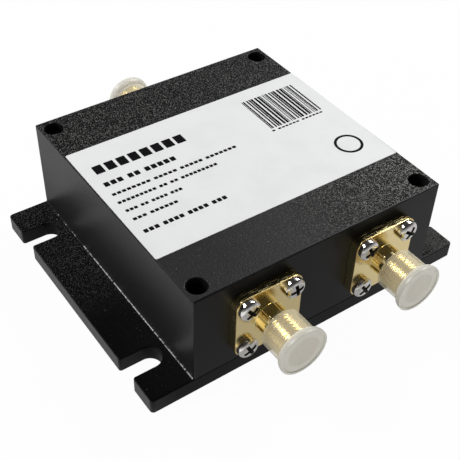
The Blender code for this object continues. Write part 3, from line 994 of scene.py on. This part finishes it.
@dataclass
class Enclosure:
    """The milled housing, its corner holes and the pale strips along its foot."""

    seam: float = 0.04 * MM
    edge_round: float = 0.20 * MM
    foot_round: float = 0.10 * MM
    side_wall: float = 3.0 * MM
    end_wall: float = 4.5 * MM
    pocket_round: float = 1.5 * MM
    pocket_height: float = 10.75 * MM
    hole_r: float = 1.7 * MM
    hole_lip: float = 0.22 * MM
    shank_r: float = 1.1 * MM
    pillar_wall: float = 1.0 * MM
    web: float = 3.5 * MM
    bore_r: float = 2.15 * MM
    tap_depth: float = 3.4 * MM
    hole_faces: int = 56
    bore_faces: int = 48
    tap_faces: int = 24
    strip_height: float = 0.22 * MM
    strip_depth: float = 0.12 * MM

    def __post_init__(self) -> None:
        """Take the housing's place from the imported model."""
        self.low, self.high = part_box("housing")
        self.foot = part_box("base_plate")[1].z + self.seam
        self.corners = cover_screw_places()

    def build(self) -> None:
        """Build the housing and the strips along its foot."""
        body = Form.block(Vector((self.low.x, self.low.y, self.foot)), self.high)
        at_foot = at_height(self.foot)
        body.bevel(lambda edge: not at_foot(edge), self.edge_round, 4)
        body.bevel(at_height(self.foot), self.foot_round, 2)
        body.joined(Join.CUT, [self.pocket()])
        body.joined(Join.CUT, self.corner_holes() + self.port_bores())
        body.published("housing_coated", PowderCoat(), "housing")
        self.strip(-1, "foot_edge_left")
        self.strip(1, "foot_edge_right")

    def pocket(self) -> Form:
        """Make the pocket's cutter.

        Returns:
            The cutter, which leaves a pillar round each corner hole.
        """
        inset = Vector((self.side_wall, self.end_wall, 0))
        low = Vector((self.low.x, self.low.y, self.foot - Form.past)) + inset
        high = Vector((self.high.x, self.high.y, self.low.z + self.pocket_height)) - inset
        cutter = Form.block(low, high).bevel(upright, self.pocket_round, 6)
        pillar_r = self.hole_r + self.pillar_wall
        floor, roof = low.z - Form.past, high.z + Form.past
        pillars = [Form.rod(pillar_r, floor, roof, self.bore_faces).shifted(at.x, at.y)
                   for at in self.corners]
        return cutter.joined(Join.CUT, pillars)

    def corner_holes(self) -> list[Form]:
        """Make the cutters of the four stepped holes.

        Returns:
            The cutters, which round the holes' rims.
        """
        step = self.low.z + self.web
        lower = [(self.shank_r, self.foot - Form.past), (self.shank_r, step), (self.hole_r, step)]
        return [Form.drill(lower, self.high.z, self.hole_lip, self.hole_faces).shifted(at.x, at.y)
                for at in self.corners]

    def port_bores(self) -> list[Form]:
        """Make the cutters of the ports' bores and tapped holes.

        Returns:
            Five cutters for each port.
        """
        cutters = []
        for port in Port.all():
            bore = Form.rod(self.bore_r, -self.end_wall - Form.past, Form.past, self.bore_faces)
            cutters.append(bore.moved(port.matrix))
            for x, y in port.screw_places:
                tap = Form.rod(self.shank_r, -self.tap_depth, Form.past, self.tap_faces)
                cutters.append(tap.shifted(x, y).moved(port.matrix))
        return cutters

    def strip(self, side: int, name: str) -> None:
        """Build the pale strip along one side of the foot.

        Args:
            side: -1 for the left side and 1 for the right one.
            name: The piece's name.
        """
        x = side * (self.high.x + self.strip_depth / 2)
        plate_top = self.foot - self.seam
        reach = self.high.y - self.edge_round
        low = Vector((x - self.strip_depth / 2, -reach, plate_top))
        high = Vector((x + self.strip_depth / 2, reach, plate_top + self.strip_height))
        Form.block(low, high).bevel(lambda edge: True, self.strip_depth / 4, 2).published(name, PaleFootStrip())


@dataclass
class MountingPlate:
    """The base plate, with four slots that are open to the sides."""

    corner_round: float = 0.7 * MM
    edge_round: float = 0.12 * MM
    slot_width: float = 4.3 * MM
    slot_reach: float = 6.55 * MM
    slot_y: float = 18.25 * MM
    slot_lip: float = 0.5 * MM
    tap_r: float = 1.1 * MM
    tap_faces: int = 28

    def __post_init__(self) -> None:
        """Take the plate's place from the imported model."""
        self.low, self.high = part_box("base_plate")

    def build(self) -> None:
        """Build the plate."""
        low, high = self.low.z, self.high.z
        plate = Form.block(self.low, self.high)
        plate.joined(Join.CUT, [self.slot(x, y) for x, y in corners(1, self.slot_y)])
        plate.bevel(self.on_side(lambda y: y > self.high.y - Form.same_point), self.corner_round, 8)
        plate.bevel(self.on_side(self.at_mouth), self.slot_lip, 6)
        plate.bevel(lambda edge: at_height(low)(edge) or at_height(high)(edge), self.edge_round, 3)
        taps = [Form.rod(self.tap_r, low - Form.past, high + Form.past, self.tap_faces).shifted(at.x, at.y)
                for at in cover_screw_places()]
        plate.joined(Join.CUT, taps)
        # The plate's coat: nearly black top and upright faces, painted glints on specks and crests, and a
        # painted sheen on the right ear's top.
        coat = PowderCoat(title="black plate coat", top_sheen=(0.002, 0.002, 0.0019), speck_glint=(0.42, 0.42, 0.40),
                          side_sheen=(0.002, 0.002, 0.002), glint_specks=(0.71, 0.82), right_sheen_span=(27 * MM, 30 * MM),
                          crest=(0.19, 0.188, 0.18), shine=0.13)
        plate.published("base_plate_coated", coat, "base_plate")

    def slot(self, side: float, y: float) -> Form:
        """Return a slot's cutter, round at its closed end.

        Args:
            side: The side of the plate, -1 or 1.
            y: The slot's place along it.

        Returns:
            The cutter.
        """
        closed = self.high.x - self.slot_reach
        half = self.slot_width / 2
        cutter = Form.block(Vector((closed, -half, self.low.z - Form.past)),
                            Vector((self.high.x + Form.past, half, self.high.z + Form.past)))
        cutter.bevel(lambda edge: upright(edge) and edge.verts[0].co.x < closed + Form.same_point,
                     half - Form.same_point, 12)
        return cutter.turned_by(0.0 if side > 0 else math.pi).shifted(0, y)

    def on_side(self, fits: Callable[[float], bool]) -> EdgeTest:
        """Make a test for upright edges on the plate's sides.

        Args:
            fits: Says whether an edge's place along Y is right.

        Returns:
            The test.
        """
        outermost = self.high.x - Form.same_point
        return lambda edge: (upright(edge) and abs(edge.verts[0].co.x) > outermost
                             and fits(abs(edge.verts[0].co.y)))

    def at_mouth(self, y: float) -> bool:
        """Say whether a place along the plate's side is an edge of a slot's mouth."""
        return abs(abs(y - self.slot_y) - self.slot_width / 2) < 2 * Form.same_point


@dataclass
class PrintedLabel:
    """The sticker on the top, with plain bars and stripes where its print goes."""

    glue: float = 0.01 * MM
    film: float = 0.11 * MM
    ink: float = 0.012 * MM
    corner_round: float = 0.3 * MM
    spread: float = 0.16 * MM
    trim: float = 0.42 * MM
    shift: float = -0.41 * MM
    film_turn: float = math.radians(-0.3)
    print_turn: float = math.radians(-0.5)
    bar_round: float = 0.10 * MM
    word_gap: float = 0.6
    block_share: float = 0.76
    stripe_ends: Pair = (10.3 * MM, 22.3 * MM)
    stripe_sides: Pair = (2.0 * MM, 11.7 * MM)
    stripe_steps: int = 84
    stripe_gain: float = 0.3
    ring_place: Pair = (19.3 * MM, -9.0 * MM)
    ring_r: float = 2.65 * MM
    ring_width: float = 0.52 * MM

    def __post_init__(self) -> None:
        """Take the label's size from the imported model, and its seat from the housing's top."""
        low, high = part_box("label")
        self.size = high - low
        self.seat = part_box("housing")[1].z + self.glue
        self.top = self.seat + self.film

    def build(self) -> None:
        """Build the film and the print on it."""
        film = Form.slab(self.size.x + self.spread, self.size.y - self.trim, self.seat, self.top)
        film.bevel(upright, self.corner_round, 6).shifted(0, self.shift).turned_by(self.film_turn)
        film.published("label_film", LabelStock(), "label")
        marks = [mark for row in self.rows() for mark in self.blocks(*row)]
        marks += self.stripes() + [self.ring()]
        Form().with_all(marks).turned_by(self.print_turn).published("label_print", Ink())

    @staticmethod
    def rows() -> list[tuple[float, float, float, float, Words]]:
        """List the printed rows.

        Returns:
            Each row's left end, right end, middle and block height, and how many blocks each word has.
        """
        table = ((-22.6, -4.1, 8.4, 2.3, (8,)), (-22.9, -8.7, 4.15, 1.15, (3, 2, 5)),
                 (-23.0, 2.0, 1.2, 0.64, (8, 5, 5, 7)), (-23.2, -3.6, -1.1, 0.64, (9, 2, 2, 9)),
                 (-23.1, -12.2, -3.5, 0.64, (3, 2, 4, 3)), (-23.1, -14.5, -5.9, 0.64, (3, 6)),
                 (-23.1, -7.1, -9.3, 0.86, (3, 4, 4, 3)), (10.0, 21.7, 1.35, 0.40, (1, 6, 6)))
        return [(*(number * MM for number in numbers), words) for *numbers, words in table]

    def blocks(self, left: float, right: float, y: float, height: float, words: Words) -> list[Form]:
        """Return a row of plain blocks, set in groups.

        Args:
            left: Where the row starts.
            right: Where it ends.
            y: Its middle.
            height: How high a block is.
            words: How many blocks each group has.

        Returns:
            The blocks.
        """
        pitch = (right - left) / (sum(words) + (len(words) - 1) * self.word_gap)
        made = []
        for word in words:
            for _ in range(word):
                made.append(self.mark(left, left + pitch * self.block_share, y - height / 2, y + height / 2))
                left += pitch
            left += pitch * self.word_gap
        return made

    def mark(self, left: float, right: float, low: float, high: float) -> Form:
        """Return one printed rectangle with soft corners."""
        form = Form.block(Vector((left, low, self.top)), Vector((right, high, self.top + self.ink)))
        return form.bevel(upright, min(self.bar_round, (right - left) / 4), 2)

    def stripes(self) -> list[Form]:
        """Make the field of stripes.

        Returns:
            The stripes, whose widths follow a plain rule and say nothing.
        """
        first, last = self.stripe_ends
        step = (last - first) / self.stripe_steps
        made, used, index = [], 0, 0
        while used < self.stripe_steps - 1:
            width = min(1 + (index * index + index // 3) % 3, self.stripe_steps - used)
            left = first + used * step
            made.append(self.mark(left, left + (width + self.stripe_gain) * step, *self.stripe_sides))
            used += width + 1 + (index * 2) % 3
            index += 1
        return made

    def ring(self) -> Form:
        """Make the plain ring.

        Returns:
            The ring.
        """
        inner, outer, low, high = self.ring_r - self.ring_width, self.ring_r, self.top, self.top + self.ink
        profile = [(inner, low), (outer, low), (outer, high), (inner, high)]
        return Form.turned(profile, ring=True).shifted(*self.ring_place)


@dataclass
class Screw:
    """A cross-recessed pan head screw, made once and then set in each of its places."""

    head_r: float
    length: float
    head_side: float = 0.62 * MM
    head_height: float = 1.4 * MM
    edge_round: float = 0.12 * MM
    dome: float = 0.72
    dome_steps: int = 12
    shank_r: float = 1.0 * MM
    tip_share: float = 0.8
    pitch: float = 0.4 * MM
    thread_depth: float = 0.16 * MM
    samples: int = 6
    faces: int = 40
    recess_span: float = 2.6 * MM
    recess_width: float = 0.64 * MM
    recess_depth: float = 1.3 * MM
    recess_round: float = 0.08 * MM
    taper: Pair = (0.6, 0.8)
    below_dome: float = 0.06 * MM
    within: float = 0.9

    def form(self) -> Form:
        """Make the screw.

        Returns:
            The screw standing on Z, with its head's underside at zero.
        """
        tip, edge, rise = -self.length, self.edge_round / 2, self.head_height - self.head_side
        steps = round(self.length / self.pitch * self.samples)
        angles = [QUARTER * step / self.dome_steps for step in range(self.dome_steps + 1)]
        profile = [(0, tip), (self.shank_r * self.tip_share, tip)]
        profile += [(self.shank_r, tip + self.length * step / steps) for step in range(1, steps)]
        profile += [(self.shank_r, 0), (self.head_r - edge, 0), (self.head_r, edge)]
        profile += [(self.head_r * math.cos(angle) ** self.dome, self.head_side + rise * math.sin(angle))
                    for angle in angles]
        body = Form.turned(profile, self.faces).joined(Join.CUT, [self.recess()])
        body.threaded(self.shank_r, self.pitch, tip, -self.pitch / 2, lambda low, _: self.thread_depth * low)
        self.mark_recess(body)
        return body.outwards()

    def recess(self) -> Form:
        """Make the cross recess's cutter.

        Returns:
            The cutter, which narrows towards its floor.
        """
        floor, top = self.head_height - self.recess_depth, self.head_height + self.recess_depth
        along, across = self.taper
        arms = []
        for turn in (0.0, QUARTER):
            arm = Form.slab(self.recess_span, self.recess_width, floor, top)
            for vert in arm.mesh.verts:
                below = vert.co.z < self.head_height
                vert.co.x *= along if below else 2 - along
                vert.co.y *= across if below else 2 - across
            arms.append(arm.turned_by(turn))
        cross = arms[0].joined(Join.MERGE, arms[1:])
        return cross.bevel(self.inner_corner, self.recess_round, 2)

    def inner_corner(self, edge: Edge) -> bool:
        """Say whether an edge of the cross stands where two arms meet."""
        return upright(edge, 0.9) and all(vert.co.xy.length < self.recess_width for vert in edge.verts)

    def mark_recess(self, body: Form) -> None:
        """Note on each face whether it lies in the recess, where the nickel plate paints shade.

        Args:
            body: The screw.
        """
        layer = body.mesh.faces.layers.float.new(NickelPlate.recess)
        rise = self.head_height - self.head_side
        for face in body.mesh.faces:
            middle = face.calc_center_median()
            share = min(1.0, middle.xy.length / self.head_r) ** (1 / self.dome)
            crown = self.head_side + rise * math.sqrt(1 - share * share)
            if self.edge_round < middle.z < crown - self.below_dome and share < self.within:
                face[layer] = 1.0


class Port:
    """One coaxial port: where it stands on the housing, which way it faces, and its screws."""

    screw_pitch = 8.64 * MM

    def __init__(self, name: str, turn: float, screw_turns: tuple[float, float, float, float]) -> None:
        """Take the port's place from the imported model.

        Args:
            name: The port's name, which starts the names of its nodes.
            turn: Its turn about Z from facing the front, in radians.
            screw_turns: How far each of its screws is turned, in degrees.
        """
        middle = centre_of(f"{name}_connector")
        point = Vector((middle.x, math.copysign(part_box("housing")[1].y, middle.y), middle.z))
        self.name = name
        self.screw_turns = screw_turns
        self.screw_places = corners(self.screw_pitch / 2, self.screw_pitch / 2)
        self.axis = (middle.x, middle.z)
        self.matrix = (Matrix.Translation(point) @ Matrix.Rotation(turn, 4, "Z")
                       @ Matrix.Rotation(QUARTER, 4, "X"))

    @classmethod
    def all(cls) -> list["Port"]:
        """Return the three ports."""
        return [cls("input", math.pi, (20, 65, 5, 48)), cls("output_left", 0.0, (28, 70, 12, 40)),
                cls("output_right", 0.0, (33, 8, 55, 24))]


@dataclass
class Connectors:
    """The three ports' bodies, contacts, insulators, caps and screws, with lengths along the port's axis."""

    flange: float = 12.7 * MM
    flange_low: float = 0.04 * MM
    flange_top: float = 1.75 * MM
    flange_round: float = 1.9 * MM
    flange_edge: float = 0.03 * MM
    roll_height: float = 0.15 * MM
    roll_inset: float = 0.007 * MM
    hole_r: float = 1.15 * MM
    hole_lip: float = 0.1 * MM
    foot_r: float = 2.86 * MM
    foot_height: float = 0.12 * MM
    neck_r: float = 2.7 * MM
    neck_end: float = 4.3 * MM
    thread_r: float = 3.175 * MM
    thread_pitch: float = 25.4 / 36 * MM
    thread_depth: float = 0.34 * MM
    thread_slope: Pair = (1.9, -0.55)
    thread_samples: int = 16
    run_in: Pair = (0.3 * MM, 0.2 * MM)
    run_up: float = 0.6
    barrel_end: float = 9.5 * MM
    barrel_chamfer: float = 0.3 * MM
    bore_r: float = 2.15 * MM
    mouth_r: float = 2.3 * MM
    mouth_depth: float = 1.9 * MM
    faces: int = 72
    small_faces: int = 40
    insulator_faces: int = 56
    wall: float = 4.5 * MM
    contact_r: float = 0.635 * MM
    contact_edge: float = 0.08 * MM
    contact_inset: float = 0.1 * MM
    pin_r: float = 0.45 * MM
    pin_length: float = 2.6 * MM
    socket_r: float = 0.47 * MM
    socket_depth: float = 3.0 * MM
    socket_point: float = 0.25 * MM
    slit_size: tuple[float, float, float] = (3.0 * MM, 0.2 * MM, 2.2 * MM)
    insulator_r: Pair = (0.735 * MM, 2.05 * MM)
    insulator_edge: float = 0.06 * MM
    cap_start: float = 4.7 * MM
    cap_end: float = 10.75 * MM
    cap_bore: float = 3.3 * MM
    cap_wall: float = 0.42 * MM
    cap_rim_start: float = 9.3 * MM
    cap_rim_r: float = 4.45 * MM
    cap_rim_land: float = 0.2 * MM
    cap_lip: float = 0.42 * MM
    cap_dish: float = 0.2 * MM
    cap_floor: float = 9.8 * MM
    cap_soft: float = 0.09 * MM
    screw_head_r: float = 1.9 * MM
    screw_length: float = 5.0 * MM
    screw_seat: float = 0.02 * MM

    def __post_init__(self) -> None:
        """Work out where the thread starts and ends, and where the contact's socket opens."""
        self.thread_start = self.neck_end + (self.thread_r - self.neck_r) * self.run_up
        self.thread_stop = self.barrel_end - self.barrel_chamfer
        self.mating = self.barrel_end - self.mouth_depth

    def build(self) -> None:
        """Build every port's pieces."""
        body, cap, contact, insulator = self.body(), self.cap(), self.contact(), self.insulator()
        screw = Screw(head_r=self.screw_head_r, length=self.screw_length).form()
        for port in Port.all():
            gold = GoldPlate(title=f"{port.name} gold plate", axis=port.axis)
            pieces = (("connector", "plated", body, gold), ("cap", "moulded", cap, self.plastic(port)),
                      ("contact", "plated", contact, gold),
                      ("dielectric", "turned", insulator, Fluoropolymer()))
            for part, made, form, finish in pieces:
                node = f"{port.name}_{part}"
                form.copied().moved(port.matrix).published(f"{node}_{made}", finish, node)
            for number, ((x, y), turn) in enumerate(zip(port.screw_places, port.screw_turns), 1):
                node = f"{port.name}_screw_{number}"
                place = port.matrix @ Matrix.Translation((x, y, self.flange_top + self.screw_seat))
                placed = screw.copied().turned_by(math.radians(turn)).moved(place)
                placed.published(f"{node}_plated", NickelPlate(), node)

    @staticmethod
    def plastic(port: Port) -> CapPlastic:
        """Return a port's cap plastic, which is clearer and paler on the input's, lit from behind."""
        look = {"cover": 0.60, "edge": (0.88, 0.85, 0.76)} if port.name == "input" else {}
        return CapPlastic(title=f"{port.name} cap plastic", axis=port.axis, **look)

    def body(self) -> Form:
        """Make a connector's body.

        Returns:
            Flange, neck and threaded barrel in one.
        """
        flange = Form.slab(self.flange, self.flange, self.flange_low, self.flange_top - self.roll_height)
        flange.bevel(upright, self.flange_round, 10)
        flange.raised(self.roll_height, 1 - 2 * self.roll_inset / self.flange)
        flange.bevel(at_height(self.flange_top), self.flange_edge, 2)
        flange.joined(Join.MERGE, [self.barrel()])
        bore = [(self.bore_r, -Form.past), (self.bore_r, self.mating), (self.mouth_r, self.mating)]
        cutters = [Form.drill(bore, self.barrel_end, self.hole_lip, self.faces)]
        for x, y in corners(Port.screw_pitch / 2, Port.screw_pitch / 2):
            hole = Form.drill([(self.hole_r, -Form.past)], self.flange_top, self.hole_lip, self.small_faces)
            cutters.append(hole.shifted(x, y))
        flange.joined(Join.CUT, cutters)
        flange.threaded(self.thread_r, self.thread_pitch, self.thread_start, self.thread_stop, self.groove)
        return flange.outwards()

    def barrel(self) -> Form:
        """Make the barrel before its thread is cut.

        Returns:
            The barrel, whose rings of points are close enough for it.
        """
        start, stop = self.thread_start, self.thread_stop
        fillet = arc((self.foot_r, self.flange_top + self.foot_height),
                     (self.foot_r - self.neck_r, self.foot_height), -QUARTER, -math.pi, steps=5)
        root = (self.flange_low + self.flange_top) / 2
        count = round((stop - start) / self.thread_pitch * self.thread_samples)
        profile = [(0, root), (self.foot_r, root), *fillet, (self.neck_r, self.neck_end)]
        profile += [(self.thread_r, start + (stop - start) * step / count) for step in range(count + 1)]
        profile += [(self.thread_r - self.barrel_chamfer, self.barrel_end), (0, self.barrel_end)]
        return Form.turned(profile, self.faces)

    def groove(self, low: float, height: float) -> float:
        """Return the thread's depth, with flat crests and roots and a run-in at each end.

        Args:
            low: 0 at a crest to 1 at a root.
            height: How far up the barrel.

        Returns:
            The depth.
        """
        steep, offset = self.thread_slope
        slope = min(1.0, max(0.0, steep * low + offset))
        first, last = self.run_in
        fade = min(1.0, (height - self.thread_start) / first, (self.thread_stop - height) / last)
        return self.thread_depth * slope * max(fade, 0.0)

    def contact(self) -> Form:
        """Make the centre contact.

        Returns:
            A slotted socket in front and a thin pin behind, in one.
        """
        front, edge = self.mating, self.contact_edge
        back, tip = self.contact_inset - self.wall, -self.wall - self.pin_length
        depth = front - self.socket_depth
        profile = [(0, tip), (self.pin_r - edge, tip), (self.pin_r, tip + edge), (self.pin_r, back),
                   (self.contact_r, back), (self.contact_r, front - edge), (self.contact_r - edge, front),
                   (self.socket_r + edge, front), (self.socket_r, front - edge), (self.socket_r, depth),
                   (0, depth - self.socket_point)]
        length, width, deep = self.slit_size
        slits = [Form.slab(*sides, front - deep, front + Form.past)
                 for sides in ((length, width), (width, length))]
        cross = slits[0].joined(Join.MERGE, slits[1:])
        return Form.turned(profile, self.small_faces).joined(Join.CUT, [cross]).outwards()

    def insulator(self) -> Form:
        """Make the insulator.

        Returns:
            A tube from the wall's inner face to the mating plane.
        """
        (inner, outer), front, edge = self.insulator_r, self.mating, self.insulator_edge
        profile = [(inner, -self.wall), (outer, -self.wall), (outer, front - edge), (outer - edge, front),
                   (inner + edge, front), (inner, front - edge)]
        return Form.turned(profile, self.insulator_faces, ring=True)

    def cap(self) -> Form:
        """Make the dust cap.

        Returns:
            A thin sleeve with a mushroom rim round its closed end.
        """
        sleeve, soft = self.cap_bore + self.cap_wall, self.cap_soft
        end, dish = self.cap_end, self.cap_end - self.cap_dish
        dish_r = self.cap_rim_r - self.cap_lip
        rim_low = end - self.cap_rim_land
        profile = [(0, dish), (dish_r - 2 * soft, dish), (dish_r - 0.6 * soft, dish + 0.4 * soft),
                   (dish_r, end - 0.5 * soft), (dish_r + 0.6 * soft, end)]
        profile += arc((self.cap_rim_r - soft, end - soft), (soft, soft), QUARTER, 0.0, steps=4)
        under = (self.cap_rim_r - sleeve, rim_low - self.cap_rim_start)
        profile += arc((sleeve, rim_low), under, 0.0, -QUARTER, steps=10)
        profile += [(sleeve, self.cap_start + soft), (sleeve - soft, self.cap_start),
                    (self.cap_bore + 2 * soft, self.cap_start), (self.cap_bore, self.cap_start + 3 * soft),
                    (self.cap_bore, self.cap_floor - soft), (self.cap_bore - soft, self.cap_floor),
                    (0, self.cap_floor)]
        return Form.turned(profile, self.faces)


@dataclass
class HousingScrews:
    """The cover screws down in the corner holes, and the screws that hold the board, heads down."""

    cover_turns: tuple[float, ...] = (15, 50, 35, 80)
    board_turns: tuple[float, ...] = (10, 40, 65, 25)
    cover_recess: float = 1.7 * MM

    def build(self) -> None:
        """Build both sets of four."""
        self.set_in("cover_screw", self.cover_turns, False, recess_span=self.cover_recess)
        self.set_in("board_screw", self.board_turns, True)

    @staticmethod
    def set_in(kind: str, turns: tuple[float, ...], upside_down: bool, **sizes: float) -> None:
        """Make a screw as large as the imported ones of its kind, and set it in each of their places.

        Args:
            kind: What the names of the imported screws' nodes start with.
            turns: How far each screw is turned, in degrees.
            upside_down: Whether their heads are at their lower ends.
            **sizes: The screw's other sizes.
        """
        low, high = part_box(f"{kind}_1")
        head = Screw.head_height
        form = Screw(head_r=(high.x - low.x) / 2, length=high.z - low.z - head, **sizes).form()
        if upside_down:
            form.moved(Matrix.Rotation(math.pi, 4, "X"))
        for number, turn in enumerate(turns, 1):
            node = f"{kind}_{number}"
            low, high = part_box(node)
            middle = (low + high) / 2
            middle.z = low.z + head if upside_down else high.z - head
            placed = form.copied().turned_by(math.radians(turn)).moved(Matrix.Translation(middle))
            placed.published(f"{node}_plated", NickelPlate(), node)


class Circuit:
    """The board, its copper line and the chips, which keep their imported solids."""

    def build(self) -> None:
        """Give each node its finish."""
        finishes = {"circuit_board": Laminate(), "splitter_track": Copper()}
        finishes.update({f"isolation_resistor_{number}": ChipBody() for number in (1, 2, 3)})
        for node, finish in finishes.items():
            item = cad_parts[node]
            item.data.materials.clear()
            item.data.materials.append(finish.material())
            log.info("%s: kept, %s", node, finish.title)


@dataclass
class Studio:
    """The white table, the room, the soft lights and the camera."""

    lens: float = 69.06
    sensor: float = 36.0
    table_size: float = 4.0
    table_white: float = 0.80
    shown_white: float = 0.97
    mirrored_front: float = 0.41
    mirrored_left: float = 0.92
    mirrored_right: float = 0.20
    left_of: Pair = (-36 * MM, -26 * MM)
    right_of: Pair = (4 * MM, 26 * MM)
    rise: Pair = (0.05, 0.6)
    room: Pair = (0.90, 0.10)
    mirrored_room: Pair = (0.35, 0.05)
    glow: float = 1.0
    glow_across: Pair = (0.46, 0.66)
    glow_behind: Pair = (0.46, 0.52)
    glow_above: Pair = (0.35, 0.55)
    edge_glow: float = 0.5
    edge_across: Pair = (0.34, 0.42)
    edge_along: Pair = (0.05, 0.25)
    lamp_distance: float = 0.60

    def __post_init__(self) -> None:
        """Set the camera's place and axes, and each lamp's name, direction, size and power in watts."""
        self.eye = Vector((-72.562, -99.599, 115.974)) * MM
        self.forward = Vector((0.434843, 0.594385, -0.676472))
        self.up = Vector((0.371573, 0.565857, 0.736038))
        self.lamps = (("left", Vector((-0.53, 0.48, 0.70)), 0.22, 2.2),
                      ("right", Vector((0.70, 0.20, 0.68)), 0.24, 1.95))

    def build(self) -> None:
        """Build the table, the world, the lamps and the camera."""
        self.table()
        self.world()
        for lamp in self.lamps:
            self.lamp(*lamp)
        self.camera()
        bpy.context.scene.view_settings.view_transform = "Standard"

    @staticmethod
    def rays(graph: Graph) -> tuple[Value, Value]:
        """Sort the rays that meet the background.

        Args:
            graph: The background's graph.

        Returns:
            1 for rays from the camera or through a clear surface, then 1 for those off a polished one.
        """
        path = graph.node("ShaderNodeLightPath").outputs
        kinds = ("Camera", "Transmission", "Glossy")
        camera, clear, polished = (Value(graph, path[f"Is {kind} Ray"]) for kind in kinds)
        direct = (camera + clear).ramp(0.0, 1.0)
        return direct, (1.0 - direct) * polished

    def table(self) -> None:
        """Lay the white table, which shows white and keeps a faint shadow."""
        graph = Graph("white table")
        direct, mirrored = self.rays(graph)
        across, _, _ = graph.parts(graph.place())
        lit = across.ramp(*self.left_of, self.mirrored_left, self.mirrored_front)
        lit = lit + across.ramp(*self.right_of) * self.mirrored_right
        matt = graph.node("ShaderNodeBsdfDiffuse", None, {"Color": (*[self.table_white] * 3, 1.0)})
        strength = {"Color": (1, 1, 1, 1), "Strength": direct + mirrored * lit}
        white = graph.node("ShaderNodeEmission", None, strength)
        share = direct * self.shown_white + mirrored
        mixed = graph.node("ShaderNodeMixShader", None, {0: share, 1: matt.outputs[0], 2: white.outputs[0]})
        graph.node("ShaderNodeOutputMaterial", None, {"Surface": mixed.outputs[0]})
        mesh = bpy.data.meshes.new("table")
        plane = bmesh.new()
        bmesh.ops.create_grid(plane, x_segments=1, y_segments=1, size=self.table_size / 2)
        plane.to_mesh(mesh)
        plane.free()
        mesh.materials.append(graph.material)
        stood("table", mesh)

    def world(self) -> None:
        """Surround the part with a room that shows white, and is paler near the table than overhead."""
        world = bpy.data.worlds.new("studio")
        bpy.context.scene.world = world
        graph = Graph(world)
        across, along, up = graph.parts(graph.node("ShaderNodeTexCoord").outputs["Generated"])
        behind = along.ramp(*self.glow_behind)
        glow = across.ramp(*self.glow_across) * behind * self.glow
        edge = across.ramp(*self.edge_across) * along.ramp(*self.edge_along) * (1.0 - behind) * self.edge_glow
        shine = up.ramp(*self.rise, *self.mirrored_room) + (glow + edge) * up.ramp(*self.glow_above)
        direct, mirrored = self.rays(graph)
        strength = direct + (1.0 - direct - mirrored) * up.ramp(*self.rise, *self.room) + mirrored * shine
        sky = graph.node("ShaderNodeBackground", None, {"Color": (1, 1, 1, 1), "Strength": strength})
        graph.node("ShaderNodeOutputWorld", None, {"Surface": sky.outputs[0]})

    def lamp(self, name: str, towards: Vector, size: float, power: float) -> None:
        """Hang one square soft lamp that faces the part.

        Args:
            name: The lamp's name.
            towards: The direction from the part to the lamp.
            size: The side of its square.
            power: Its power in watts.
        """
        light = bpy.data.lights.new(name, "AREA")
        light.shape = "SQUARE"
        light.size = size
        light.energy = power
        item = stood(name, light)
        item.location = towards.normalized() * self.lamp_distance
        item.rotation_euler = towards.to_track_quat("Z", "Y").to_euler()

    def camera(self) -> None:
        """Stand the camera where the photograph was taken from."""
        lens = bpy.data.cameras.new("camera")
        lens.lens = self.lens
        lens.sensor_width = self.sensor
        lens.sensor_fit = "HORIZONTAL"
        lens.clip_start = 0.01
        item = stood("camera", lens)
        turn = Matrix((self.forward.cross(self.up), self.up, -self.forward)).transposed()
        item.matrix_world = Matrix.Translation(self.eye) @ turn.to_4x4()
        bpy.context.scene.camera = item


def main() -> None:
    """Build the whole picture."""
    logging.basicConfig(level=logging.INFO, format="%(name)s %(message)s")
    parts = (Enclosure(), MountingPlate(), PrintedLabel(), Connectors(), HousingScrews(), Circuit(), Studio())
    for part in parts:
        part.build()


if __name__ == "__main__":
    main()
